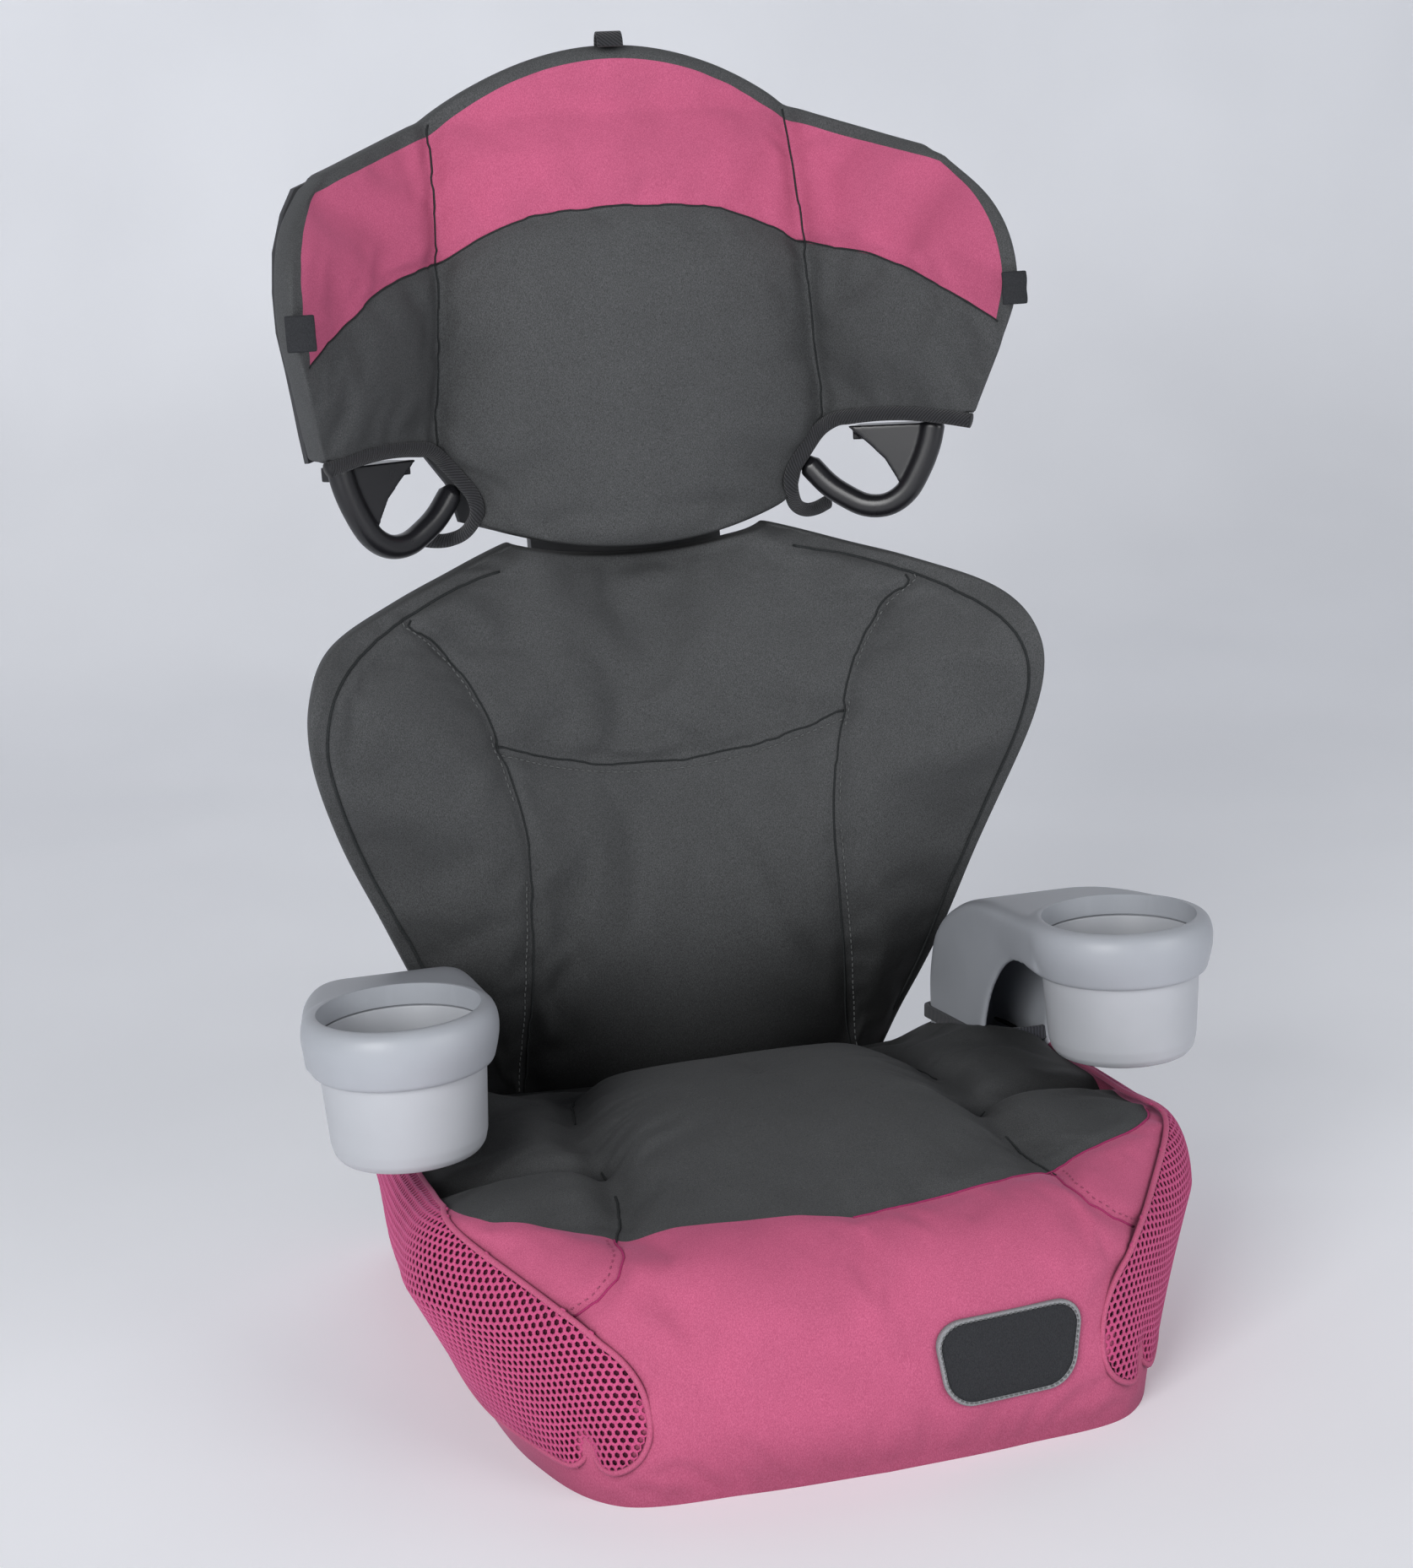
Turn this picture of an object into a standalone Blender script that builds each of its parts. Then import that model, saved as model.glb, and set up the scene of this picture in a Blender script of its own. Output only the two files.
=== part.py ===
"""A child's high-back booster seat: moulded base, padded backrest on a hinge, sliding headrest with a latch.

Frame: +X to the sitter's left as seen from the front (right in a front view), +Y to the back, +Z up.
The origin is the middle of the base's bottom plane. Lengths are in metres.
"""

import math

import bmesh
import bpy
from mathutils import Matrix, Vector

# ---- driving dimensions ----
GAP = 0.0005            # between two pieces that touch
LAYER = 0.0015          # between soft layers
COVER = 0.0025          # fabric with its laminated foam
SHELL = 0.003           # moulded wall
HEAD_FOAM = 0.016
BACK_FOAM = 0.013
RECLINE = math.radians(4.5)
BACK_SPLAY = math.radians(22)    # how far the layers behind the covers fan outwards at the sides
HEAD_SPLAY = math.radians(42)

# base
BASE_REAR = 0.158       # rear of the seat pad
LEDGE_REAR = 0.186      # rear of the moulded ledge that the back stands on
LEDGE_HEIGHT = 0.036
DECK_HEIGHT = 0.070     # top of the base shell, under the seat foam
RIB = 0.004

# armrests and cup holders
ARM_X = 0.170           # middle of the armrest column
ARM_HALF = 0.022
ARM_FRONT = 0.058
ARM_REAR = 0.156
ARM_FOOT = 0.040
ARM_FOOT_X = 0.164      # the column narrows towards its foot
ARM_FOOT_HALF = 0.0165
ARM_WALL = 0.0035
CUP_X = 0.195
CUP_Y = -0.040
RING_TOP = 0.215
RING_BOTTOM = 0.184
RING_OUTER = 0.0495
RING_LIP = 0.0415
CUP_TOP_RADIUS = 0.0435
CUP_BOTTOM_RADIUS = 0.0395
CUP_BOTTOM = 0.138

# blank patch on the front
PATCH_X = 0.062
PATCH_Z = 0.055
PATCH_HALF = 0.036
PATCH_HALF_HEIGHT = 0.022

# recline hinge, at the back of the base
HINGE_Y = 0.200
HINGE_Z = 0.030
HINGE_X = 0.070
PIN_RADIUS = 0.003
PIN_PLAY = 0.0003
KNUCKLE_RADIUS = 0.009
KNUCKLE_HALF = 0.014
EAR_THICK = 0.004

# headrest slide and latch, measured in the back's own frame: x, behind the hinge line, along the spine
SPINE_HALF = 0.060
SPINE_FRONT = 0.0225
SPINE_PLATE = 0.004
SPINE_FLANGE = 0.010
SPINE_BOTTOM = 0.345
SPINE_TOP = 0.580
NOTCH_PITCH = 0.015
NOTCHES = 7
TOOTH_S = 0.445
TOOTH_HALF = 0.002
CARRIAGE_HALF = 0.074
CARRIAGE_FRONT = 0.009
CARRIAGE_REAR = 0.050
CARRIAGE_BOTTOM = 0.422
CARRIAGE_TOP = 0.545
CARRIAGE_WALL = 0.0035
PIVOT_N = 0.062
PIVOT_S = 0.520
PIVOT_BORE = 0.0023
EAR_X = 0.026

# belt guides: a hook in an upright plane under each wing, turned to face inwards
GUIDE_ORIGIN = Vector((0.148, 0.200, 0.440))
GUIDE_TURN = math.radians(30)
GUIDE_BAR = 0.0068
GUIDE_PLATE = 0.003

GREY = (0.56, 0.57, 0.60)
PALE_GREY = (0.66, 0.67, 0.70)
CHARCOAL = (0.045, 0.048, 0.050)
MESH_PINK = (0.58, 0.07, 0.24)
BLACK = (0.012, 0.012, 0.014)
FOAM_WHITE = (0.80, 0.80, 0.78)
STEEL = (0.60, 0.61, 0.62)


# ---- scene and helpers ----
def clear_scene():
    for obj in list(bpy.data.objects):
        bpy.data.objects.remove(obj, do_unlink=True)


def new_collection(name, hidden=False):
    collection = bpy.data.collections.new(name)
    bpy.context.scene.collection.children.link(collection)
    collection.hide_render = hidden
    return collection


def material(name, colour, roughness, metallic=0.0):
    made = bpy.data.materials.new(name)
    made.use_nodes = True
    shader = made.node_tree.nodes["Principled BSDF"]
    shader.inputs["Base Color"].default_value = (*colour, 1.0)
    shader.inputs["Roughness"].default_value = roughness
    shader.inputs["Metallic"].default_value = metallic
    made.diffuse_color = (*colour, 1.0)
    return made


def place(name, mesh, finish, collection, smooth=False):
    obj = bpy.data.objects.new(name, mesh)
    if finish:
        mesh.materials.append(finish)
    if smooth:
        mesh.shade_smooth()
    collection.objects.link(obj)
    return obj


def mesh_from(bm, name):
    bmesh.ops.recalc_face_normals(bm, faces=bm.faces)
    mesh = bpy.data.meshes.new(name)
    bm.to_mesh(mesh)
    bm.free()
    return mesh


def box(name, low, high, finish=None, collection=None, bevel=0.0, parent=None):
    """A box between two corners, with rounded edges."""
    bm = bmesh.new()
    size = [b - a for a, b in zip(low, high)]
    middle = [(a + b) / 2 for a, b in zip(low, high)]
    bmesh.ops.create_cube(bm, size=1.0, matrix=Matrix.Diagonal((*size, 1.0)))
    if bevel:
        bmesh.ops.bevel(bm, geom=bm.edges[:], offset=bevel, segments=2, affect="EDGES", profile=0.5)
    obj = place(name, mesh_from(bm, name), finish, collection or cutters)
    obj.location = middle
    obj.parent = parent
    return obj


def cylinder(name, radius, length, middle, axis, finish=None, collection=None, sides=16, parent=None):
    bm = bmesh.new()
    turn = Vector((0, 0, 1)).rotation_difference(Vector(axis)).to_matrix().to_4x4()
    bmesh.ops.create_cone(bm, cap_ends=True, segments=sides, radius1=radius, radius2=radius, depth=length,
                          matrix=turn)
    obj = place(name, mesh_from(bm, name), finish, collection or cutters)
    obj.location = middle
    obj.parent = parent
    return obj


def turned(name, profile, middle, finish, collection, steps=32):
    """A profile of (radius, height) points turned about the vertical."""
    mesh = bpy.data.meshes.new(name)
    edges = [(i, i + 1) for i in range(len(profile) - 1)]
    if profile[0][0] > 0:
        edges.append((len(profile) - 1, 0))
    mesh.from_pydata([(r, 0, z) for r, z in profile], edges, [])
    obj = place(name, mesh, finish, collection)
    obj.location = middle
    screw = obj.modifiers.new("turn", "SCREW")
    screw.steps = steps
    screw.render_steps = steps
    screw.use_merge_vertices = True
    screw.merge_threshold = 0.00001
    screw.use_smooth_shade = True
    return obj


def combine(target, others, operation):
    """Joins or cuts with each of the others, which become hidden helpers."""
    for other in others:
        boolean = target.modifiers.new(operation.lower(), "BOOLEAN")
        boolean.operation = operation
        boolean.object = other
        boolean.solver = "EXACT"
        other.hide_render = True
        other.display_type = "WIRE"
        for holder in list(other.users_collection):
            holder.objects.unlink(other)
        cutters.objects.link(other)
    return target


def cut(target, *others):
    return combine(target, others, "DIFFERENCE")


def join(target, *others):
    return combine(target, others, "UNION")


def curve_through(stations):
    """A smooth function through (t, value) stations, level beyond both ends."""
    def value(t):
        if t <= stations[0][0]:
            return stations[0][1]
        if t >= stations[-1][0]:
            return stations[-1][1]
        i = max(k for k in range(len(stations) - 1) if stations[k][0] <= t)
        before = stations[max(i - 1, 0)]
        (t0, v0), (t1, v1) = stations[i], stations[i + 1]
        after = stations[min(i + 2, len(stations) - 1)]
        step = t1 - t0
        slope0 = (v1 - before[1]) / (t1 - before[0]) * step
        slope1 = (after[1] - v0) / (after[0] - t0) * step
        f = (t - t0) / step
        return (v0 * (2 * f**3 - 3 * f**2 + 1) + slope0 * (f**3 - 2 * f**2 + f)
                + v1 * (3 * f**2 - 2 * f**3) + slope1 * (f**3 - f**2))
    return value


def behind(surface, depth, splay):
    """The surface moved back by a depth: straight back in the middle, and splayed out towards both sides."""
    def moved(u, v):
        turn = math.copysign(splay * min(1.0, abs(u) / 0.75), u)
        return surface(u, v) + Vector((math.sin(turn), math.cos(turn), 0)) * depth
    return moved


def grid_lines(low, high, per_unit):
    """Whole steps between two ends, and the ends themselves, so that nested layers share their grid lines."""
    first = math.floor(low * per_unit + 0.01) + 1
    last = math.ceil(high * per_unit - 0.01) - 1
    return [low] + [i / per_unit for i in range(first, last + 1)] + [high]


def sheet(name, front, back, columns, rows, finish, collection, u=(-1, 1), v=(0, 1), keep=None, weld=False):
    """A solid between two surfaces of (u, v), or one open surface; columns and rows are per unit."""
    across = grid_lines(*u, columns)
    up = grid_lines(*v, rows)
    bm = bmesh.new()
    bmesh.ops.create_grid(bm, x_segments=len(across) - 1, y_segments=len(up) - 1, size=0.5)

    def spot_of(vert):
        column = round((vert.co.x + 0.5) * (len(across) - 1))
        row = round((vert.co.y + 0.5) * (len(up) - 1))
        return across[column], up[row]

    if keep:
        gone = []
        for face in bm.faces:
            spots = [spot_of(vert) for vert in face.verts]
            middle = [sum(values) / len(spots) for values in zip(*spots)]
            if not keep(*middle):
                gone.append(face)
        bmesh.ops.delete(bm, geom=gone, context="FACES")
    spots = {vert: spot_of(vert) for vert in bm.verts}
    for vert, spot in spots.items():
        vert.co = front(*spot)
    if weld:
        bmesh.ops.remove_doubles(bm, verts=bm.verts, dist=0.00001)
    if back:
        spot_at = {tuple(vert.co): spots[vert] for vert in bm.verts}
        grown = bmesh.ops.extrude_face_region(bm, geom=bm.faces[:], use_keep_orig=True)["geom"]
        for vert in grown:
            if isinstance(vert, bmesh.types.BMVert):
                vert.co = back(*spot_at[tuple(vert.co)])
    return place(name, mesh_from(bm, name), finish, collection, smooth=True)


# ---- seat shape: rings that run from the crown out to the rim and down the sides ----
# Half outlines, from the middle of the front (0) round to the middle of the rear (1).
RIM_X = curve_through([(0, 0), (0.14, 0.065), (0.25, 0.112), (0.38, 0.176), (0.5, 0.187), (0.68, 0.191),
                       (0.80, 0.192), (0.87, 0.176), (0.92, 0.144), (1, 0)])
RIM_Y = curve_through([(0, -0.166), (0.14, -0.159), (0.25, -0.142), (0.38, -0.114), (0.5, -0.05),
                       (0.68, 0.06), (0.80, 0.150), (0.87, 0.172), (0.92, 0.165), (1, BASE_REAR)])
RIM_Z = curve_through([(0, 0.119), (0.14, 0.122), (0.25, 0.121), (0.38, 0.126), (0.5, 0.118), (0.68, 0.110),
                       (0.80, 0.101), (0.87, 0.096), (1, 0.088)])
BULGE_X = curve_through([(0, 0), (0.14, 0.075), (0.25, 0.135), (0.38, 0.198), (0.5, 0.206), (0.68, 0.202),
                         (0.80, 0.197), (0.87, 0.178), (0.92, 0.145), (1, 0)])
BULGE_Y = curve_through([(0, -0.203), (0.14, -0.200), (0.25, -0.183), (0.38, -0.112), (0.5, -0.05),
                         (0.68, 0.06), (0.80, 0.152), (0.87, 0.174), (0.92, 0.167), (1, BASE_REAR)])
FOOT_X = curve_through([(0, 0), (0.14, 0.068), (0.25, 0.128), (0.38, 0.158), (0.5, 0.172), (0.68, 0.182),
                        (0.80, 0.188), (0.87, 0.172), (0.92, 0.142), (1, 0)])
FOOT_Y = curve_through([(0, -0.205), (0.14, -0.202), (0.25, -0.192), (0.38, -0.135), (0.5, -0.05),
                        (0.68, 0.06), (0.80, 0.152), (0.87, 0.174), (0.92, 0.167), (1, BASE_REAR)])
BULGE_HEIGHT = 0.085
HEM_HEIGHT = 0.002
RIM_LEVEL = 0.5         # ring number of the rim, from the crown (0) to the foot (1)
BULGE_LEVEL = 0.68
SEAT_COLUMNS = 40       # grid columns once round, and rows from crown to foot
SEAT_ROWS = 14


SEAT_CROWN = curve_through([(-0.166, 0.119), (-0.100, 0.131), (-0.030, 0.134), (0.050, 0.128), (0.100, 0.116),
                            (0.160, 0.088)])


def seat_ring_point(turn, level):
    """A point of the cover's outside: turn 0..1 goes round from the middle front, level from crown to foot."""
    half = turn * 2 if turn <= 0.5 else 2 - turn * 2
    side = 1 if turn <= 0.5 else -1
    rim = Vector((side * RIM_X(half), RIM_Y(half), RIM_Z(half)))
    if level <= RIM_LEVEL:
        out = level / RIM_LEVEL
        y = rim.y * out
        return Vector((rim.x * out, y, rim.z + (SEAT_CROWN(y) - rim.z) * (1 - out * out)))
    bulge = Vector((side * BULGE_X(half), BULGE_Y(half), BULGE_HEIGHT))
    foot = Vector((side * FOOT_X(half), FOOT_Y(half), HEM_HEIGHT))
    if level <= BULGE_LEVEL:
        f = (level - RIM_LEVEL) / (BULGE_LEVEL - RIM_LEVEL)
        out = math.sin(f * math.pi / 2)
        down = 1 - math.cos(f * math.pi / 2)
        return Vector((rim.x + (bulge.x - rim.x) * out, rim.y + (bulge.y - rim.y) * out,
                       rim.z + (bulge.z - rim.z) * down))
    f = (level - BULGE_LEVEL) / (1 - BULGE_LEVEL)
    return bulge.lerp(foot, f)


def side_level(z):
    """The ring number at a height of the side, below the bulge."""
    return BULGE_LEVEL + (1 - BULGE_LEVEL) * (BULGE_HEIGHT - z) / (BULGE_HEIGHT - HEM_HEIGHT)


def inset_seat(depth):
    """The seat's outside moved in by a depth: down under the top, and inwards at the sides."""
    def point(turn, level):
        there = seat_ring_point(turn % 1, level)
        side = min(1.0, max(0.0, (level - 0.35) / (BULGE_LEVEL - 0.45)))
        side = side * side * (3 - 2 * side)
        out = Vector((there.x / 0.19, (there.y + 0.02) / 0.17, 0))
        if out.length > 0:
            out.normalize()
        inward = (out * side + Vector((0, 0, 1 - side))).normalized()
        return there - inward * depth
    return point


# ---- headrest shape ----
HEAD_SEAM_X = curve_through([(0.430, 0.095), (0.447, 0.097), (0.476, 0.117), (0.520, 0.114), (0.582, 0.110),
                             (0.662, 0.107)])
HEAD_SEAM_Y = curve_through([(0.430, 0.215), (0.476, 0.211), (0.560, 0.204), (0.620, 0.209), (0.662, 0.222)])
HEAD_MIDDLE_Z = curve_through([(0, 0.411), (0.66, 0.608), (1, 0.699)])
WING_SLOPE = curve_through([(0.470, 0.92), (0.500, 1.06), (0.540, 1.14), (0.580, 1.05), (0.620, 0.78),
                            (0.660, 0.50)])
WING_EDGE_X = curve_through([(0, 0.189), (0.35, 0.198), (0.55, 0.203), (0.8, 0.197), (1, 0.178)])
WING_EDGE_Z = curve_through([(0, 0.474), (0.35, 0.523), (0.55, 0.555), (0.8, 0.598), (1, 0.630)])
HEAD_CORNER_Z = 0.430
HEAD_SEAM_TOP = 0.662
NOTCH_V = (0.476 - HEAD_CORNER_Z) / (HEAD_SEAM_TOP - HEAD_CORNER_Z)
HEAD_CROWN = 0.012
HEAD_PAD = COVER + HEAD_FOAM + 2 * LAYER


def head_depth(x, z):
    """How far back the front of the headrest cover lies."""
    seam = HEAD_SEAM_X(z)
    if abs(x) <= seam:
        return HEAD_SEAM_Y(z) - HEAD_CROWN * (1 - (x / seam) ** 2)
    return HEAD_SEAM_Y(z) - WING_SLOPE(z) * (abs(x) - seam)


def head_point(u, v):
    """|u| up to 0.5 is the centre, beyond it the wing; v runs up from the bottom edge."""
    side = 1 if u >= 0 else -1
    seam_z = HEAD_CORNER_Z + (HEAD_SEAM_TOP - HEAD_CORNER_Z) * v
    seam_x = HEAD_SEAM_X(seam_z)
    if abs(u) <= 0.5:
        a = abs(u) / 0.5
        x = a * seam_x
        z = seam_z + (HEAD_MIDDLE_Z(v) - seam_z) * (1 - a * a)
    else:
        a = (abs(u) - 0.5) / 0.5
        w = max(0.0, (v - NOTCH_V) / (1 - NOTCH_V))
        x = seam_x + (WING_EDGE_X(w) - seam_x) * a
        z = seam_z + (WING_EDGE_Z(w) - seam_z) * a + 0.005 * math.sin(math.pi * a) * (1 - w) ** 2
    return Vector((side * x, head_depth(x, z), z))


def on_head(u, v):
    return abs(u) < 0.5 or v > NOTCH_V


# ---- backrest shape ----
BACK_PAD = COVER + BACK_FOAM + 2 * LAYER
BACK_ROWS = 14
BACK_EDGE_X = curve_through([(0, 0.116), (0.10, 0.130), (0.25, 0.157), (0.40, 0.180), (0.52, 0.200),
                             (0.62, 0.213), (0.70, 0.212), (0.78, 0.197), (0.87, 0.155), (0.94, 0.115),
                             (1, 0.080)])
BACK_EDGE_Z = curve_through([(0, 0.060), (0.10, 0.095), (0.25, 0.155), (0.40, 0.212), (0.52, 0.262),
                             (0.62, 0.312), (0.70, 0.346), (0.78, 0.372), (0.87, 0.391), (0.94, 0.404),
                             (1, 0.415)])
BACK_MIDDLE_Z = curve_through([(0, 0.052), (0.5, 0.240), (1, 0.402)])
BACK_MIDDLE_Y = curve_through([(0.05, 0.172), (0.10, 0.166), (0.17, 0.163), (0.25, 0.170), (0.30, 0.180),
                               (0.35, 0.192), (0.40, 0.221), (0.432, 0.233)])
BACK_SEAM_Y = curve_through([(0.05, 0.180), (0.10, 0.169), (0.155, 0.150), (0.20, 0.144), (0.25, 0.144),
                             (0.30, 0.152), (0.34, 0.158), (0.375, 0.165), (0.40, 0.195), (0.428, 0.222)])
BACK_EDGE_Y = curve_through([(0.05, 0.187), (0.10, 0.174), (0.155, 0.156), (0.21, 0.145), (0.25, 0.135),
                             (0.30, 0.114), (0.34, 0.104), (0.365, 0.116), (0.392, 0.160), (0.410, 0.200),
                             (0.428, 0.226)])
BACK_SEAM_X = curve_through([(0.05, 0.107), (0.10, 0.102), (0.155, 0.097), (0.20, 0.094), (0.25, 0.093),
                             (0.30, 0.102), (0.34, 0.116), (0.37, 0.137), (0.385, 0.155)])


def back_point(u, v):
    """u runs across from edge to edge, v up from the bottom edge."""
    side = 1 if u >= 0 else -1
    a = abs(u)
    edge_x = BACK_EDGE_X(v)
    edge_z = BACK_EDGE_Z(v)
    x = a * edge_x
    z = edge_z + (BACK_MIDDLE_Z(v) - edge_z) * (1 - a * a)
    seam_x = min(BACK_SEAM_X(z), edge_x * 0.75)
    if x <= seam_x:
        y = BACK_MIDDLE_Y(z) + (BACK_SEAM_Y(z) - BACK_MIDDLE_Y(z)) * (x / seam_x) ** 2
    else:
        f = (x - seam_x) / (edge_x - seam_x)
        y = BACK_SEAM_Y(z) + (BACK_EDGE_Y(edge_z) - BACK_SEAM_Y(z)) * f - 0.006 * math.sin(math.pi * f)
    return Vector((side * x, y, z))


# ---- base ----
def arm_cutter(name, side, clearance, low, high, outer_trim=0.0):
    """The hole that an armrest column passes through."""
    near, far = sorted((side * (ARM_X - ARM_HALF - clearance),
                        side * (ARM_X + ARM_HALF + clearance - outer_trim)))
    return box(name, (near, ARM_FRONT - clearance, low), (far, ARM_REAR + clearance, high))


def make_base_shell():
    """The moulding that everything stands on: flared wall, deck, ribs, a rear ledge and the hinge ears."""
    deck_level = 0.25

    def wall_at(depth, drop):
        outside = inset_seat(COVER + LAYER + depth)

        def point(turn, level):
            z = (DECK_HEIGHT - drop) * min(1, 1 - level)
            spot = outside(turn, side_level(z))
            out = 1 + min(0, level) / deck_level
            return Vector((spot.x * out, spot.y * out, z))
        return point

    shell = sheet("base_shell", wall_at(0, 0), wall_at(SHELL, SHELL), SEAT_COLUMNS, 2, plastic_grey, parts,
                  u=(0, 1),
                  v=(-deck_level, 1), weld=True)
    front = -0.190
    long_rib = box("long_rib", (-RIB / 2, front, 0), (RIB / 2, BASE_REAR - 0.004, DECK_HEIGHT - 0.001))
    cross_rib = box("cross_rib", (-0.165, -RIB, 0), (0.165, RIB, DECK_HEIGHT - 0.001))
    ledge = box("ledge", (-0.150, BASE_REAR - 0.006, 0), (0.150, LEDGE_REAR, LEDGE_HEIGHT), bevel=0.003)
    shelves = [box(f"shelf_{side}", (side * ARM_FOOT_X - 0.022, ARM_FRONT - 0.012, ARM_FOOT - 0.004 - GAP),
                   (side * ARM_FOOT_X + 0.022, ARM_REAR, ARM_FOOT - GAP)) for side in (-1, 1)]
    ear_offset = KNUCKLE_HALF + EAR_THICK / 2 + GAP
    ears = [box(f"ear_{x:.3f}", (x - EAR_THICK / 2, LEDGE_REAR - 0.010, HINGE_Z - KNUCKLE_RADIUS),
                (x + EAR_THICK / 2, HINGE_Y + KNUCKLE_RADIUS, HINGE_Z + KNUCKLE_RADIUS), bevel=0.001)
            for side in (-1, 1) for x in (side * HINGE_X - ear_offset, side * HINGE_X + ear_offset)]
    join(shell, long_rib, cross_rib, ledge, *shelves, *ears)
    for side in (-1, 1):
        cut(shell, arm_cutter(f"shell_hole_{side}", side, 2 * GAP, DECK_HEIGHT - 0.010, DECK_HEIGHT + 0.02,
                              0.006))
        cut(shell, cylinder(f"ear_bore_{side}", PIN_RADIUS + PIN_PLAY, 0.06,
                            (side * HINGE_X, HINGE_Y, HINGE_Z), (1, 0, 0)))
        for y in (ARM_FRONT + 0.025, ARM_REAR - 0.025):
            cut(shell, cylinder(f"screw_bore_{side}_{y:.3f}", 0.0025, 0.03, (side * ARM_FOOT_X, y, ARM_FOOT),
                                (0, 0, 1)))
    return shell


def make_seat_foam():
    """The block of foam between the deck and the cover."""
    outside = inset_seat(COVER + 2 * LAYER + 2 * GAP)
    top_rows, rows = 9, 11

    def point(turn, level):
        row = level * rows
        if row <= top_rows + 0.01:
            return outside(turn, row / SEAT_ROWS)
        rim = outside(turn, side_level(DECK_HEIGHT))
        out = 0.97 * (rows - row) / (rows - top_rows - 1)
        return Vector((rim.x * out, rim.y * out, DECK_HEIGHT + GAP))

    foam = sheet("seat_foam", point, None, SEAT_COLUMNS, rows, foam_white, parts, u=(0, 1), weld=True)
    for side in (-1, 1):
        cut(foam, arm_cutter(f"foam_hole_{side}", side, 0.002, 0.03, 0.15))
    return foam


def mesh_panel_outline(name, side, grow):
    """The side panel's outline, seen from the side, as a cutter that runs outwards."""
    curve = bpy.data.curves.new(name, "CURVE")
    curve.dimensions = "2D"
    curve.fill_mode = "BOTH"
    curve.extrude = 0.05
    spline = curve.splines.new("POLY")
    outline = [(-0.113, 0.118), (-0.150, 0.085), (-0.185, 0.045), (-0.182, 0.022), (-0.150, 0.026),
               (-0.060, 0.034),
               (0.040, 0.040), (0.130, 0.046), (0.130, 0.088), (0.050, 0.099), (-0.050, 0.108)]
    middle = (sum(y for y, _ in outline) / len(outline), sum(z for _, z in outline) / len(outline))
    spline.points.add(len(outline) - 1)
    for spot, (y, z) in zip(spline.points, outline):
        away = Vector((y - middle[0], z - middle[1]))
        away = away + away.normalized() * grow
        spot.co = (middle[0] + away.x, middle[1] + away.y, 0, 1)
    spline.use_cyclic_u = True
    flat = bpy.data.objects.new(name + "_flat", curve)
    cutters.objects.link(flat)
    bpy.context.view_layer.update()
    mesh = bpy.data.meshes.new_from_object(flat.evaluated_get(bpy.context.evaluated_depsgraph_get()))
    bpy.data.objects.remove(flat)
    bm = bmesh.new()
    bm.from_mesh(mesh)
    bmesh.ops.remove_doubles(bm, verts=bm.verts, dist=0.00001)
    upright = Matrix(((0, 0, 1, 0), (1, 0, 0, 0), (0, 1, 0, 0), (0, 0, 0, 1)))
    bm.transform(Matrix.Translation((side * 0.165, 0, 0)) @ upright)
    return place(name, mesh_from(bm, name), None, cutters)


def make_seat_cover():
    """The fitted cover, and the two spacer-mesh panels that are sewn into its sides."""
    cover = sheet("seat_cover", inset_seat(0), inset_seat(COVER), SEAT_COLUMNS, SEAT_ROWS, fabric_charcoal,
                  parts,
                  u=(0, 1), weld=True)
    cut(cover, box("ledge_opening", (-0.151, BASE_REAR - 0.012, -0.01),
                   (0.151, LEDGE_REAR, LEDGE_HEIGHT + 2 * GAP)))
    panels = []
    for side, word in ((-1, "left"), (1, "right")):
        cut(cover, arm_cutter(f"cover_hole_{side}", side, 0.0035, 0.080, 0.16))
        cut(cover, mesh_panel_outline(f"mesh_opening_{word}", side, GAP))
        panel = sheet(f"side_mesh_{word}", inset_seat(0), inset_seat(COVER), SEAT_COLUMNS, SEAT_ROWS,
                      mesh_pink,
                      parts, u=(0, 1), weld=True)
        combine(panel, [mesh_panel_outline(f"mesh_shape_{word}", side, 0)], "INTERSECT")
        panels.append(panel)
    return cover, panels


def make_front_patch():
    """A blank sewn-on patch, low on the right of the front."""
    def point(lift):
        def at(u, v):
            x = PATCH_X + PATCH_HALF * u * (1 + 0.06 * (2 * v - 1))
            z = PATCH_Z + PATCH_HALF_HEIGHT * (2 * v - 1)
            turn = next(t / 800 for t in range(400) if FOOT_X(t / 400) >= x)
            skin = seat_ring_point(turn, BULGE_LEVEL + (1 - BULGE_LEVEL) * (1 - z / BULGE_HEIGHT))
            return Vector((x, skin.y - lift, z))
        return at
    return sheet("front_patch", point(0.0030), point(0.0016), 2, 3, fabric_charcoal, parts)


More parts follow.
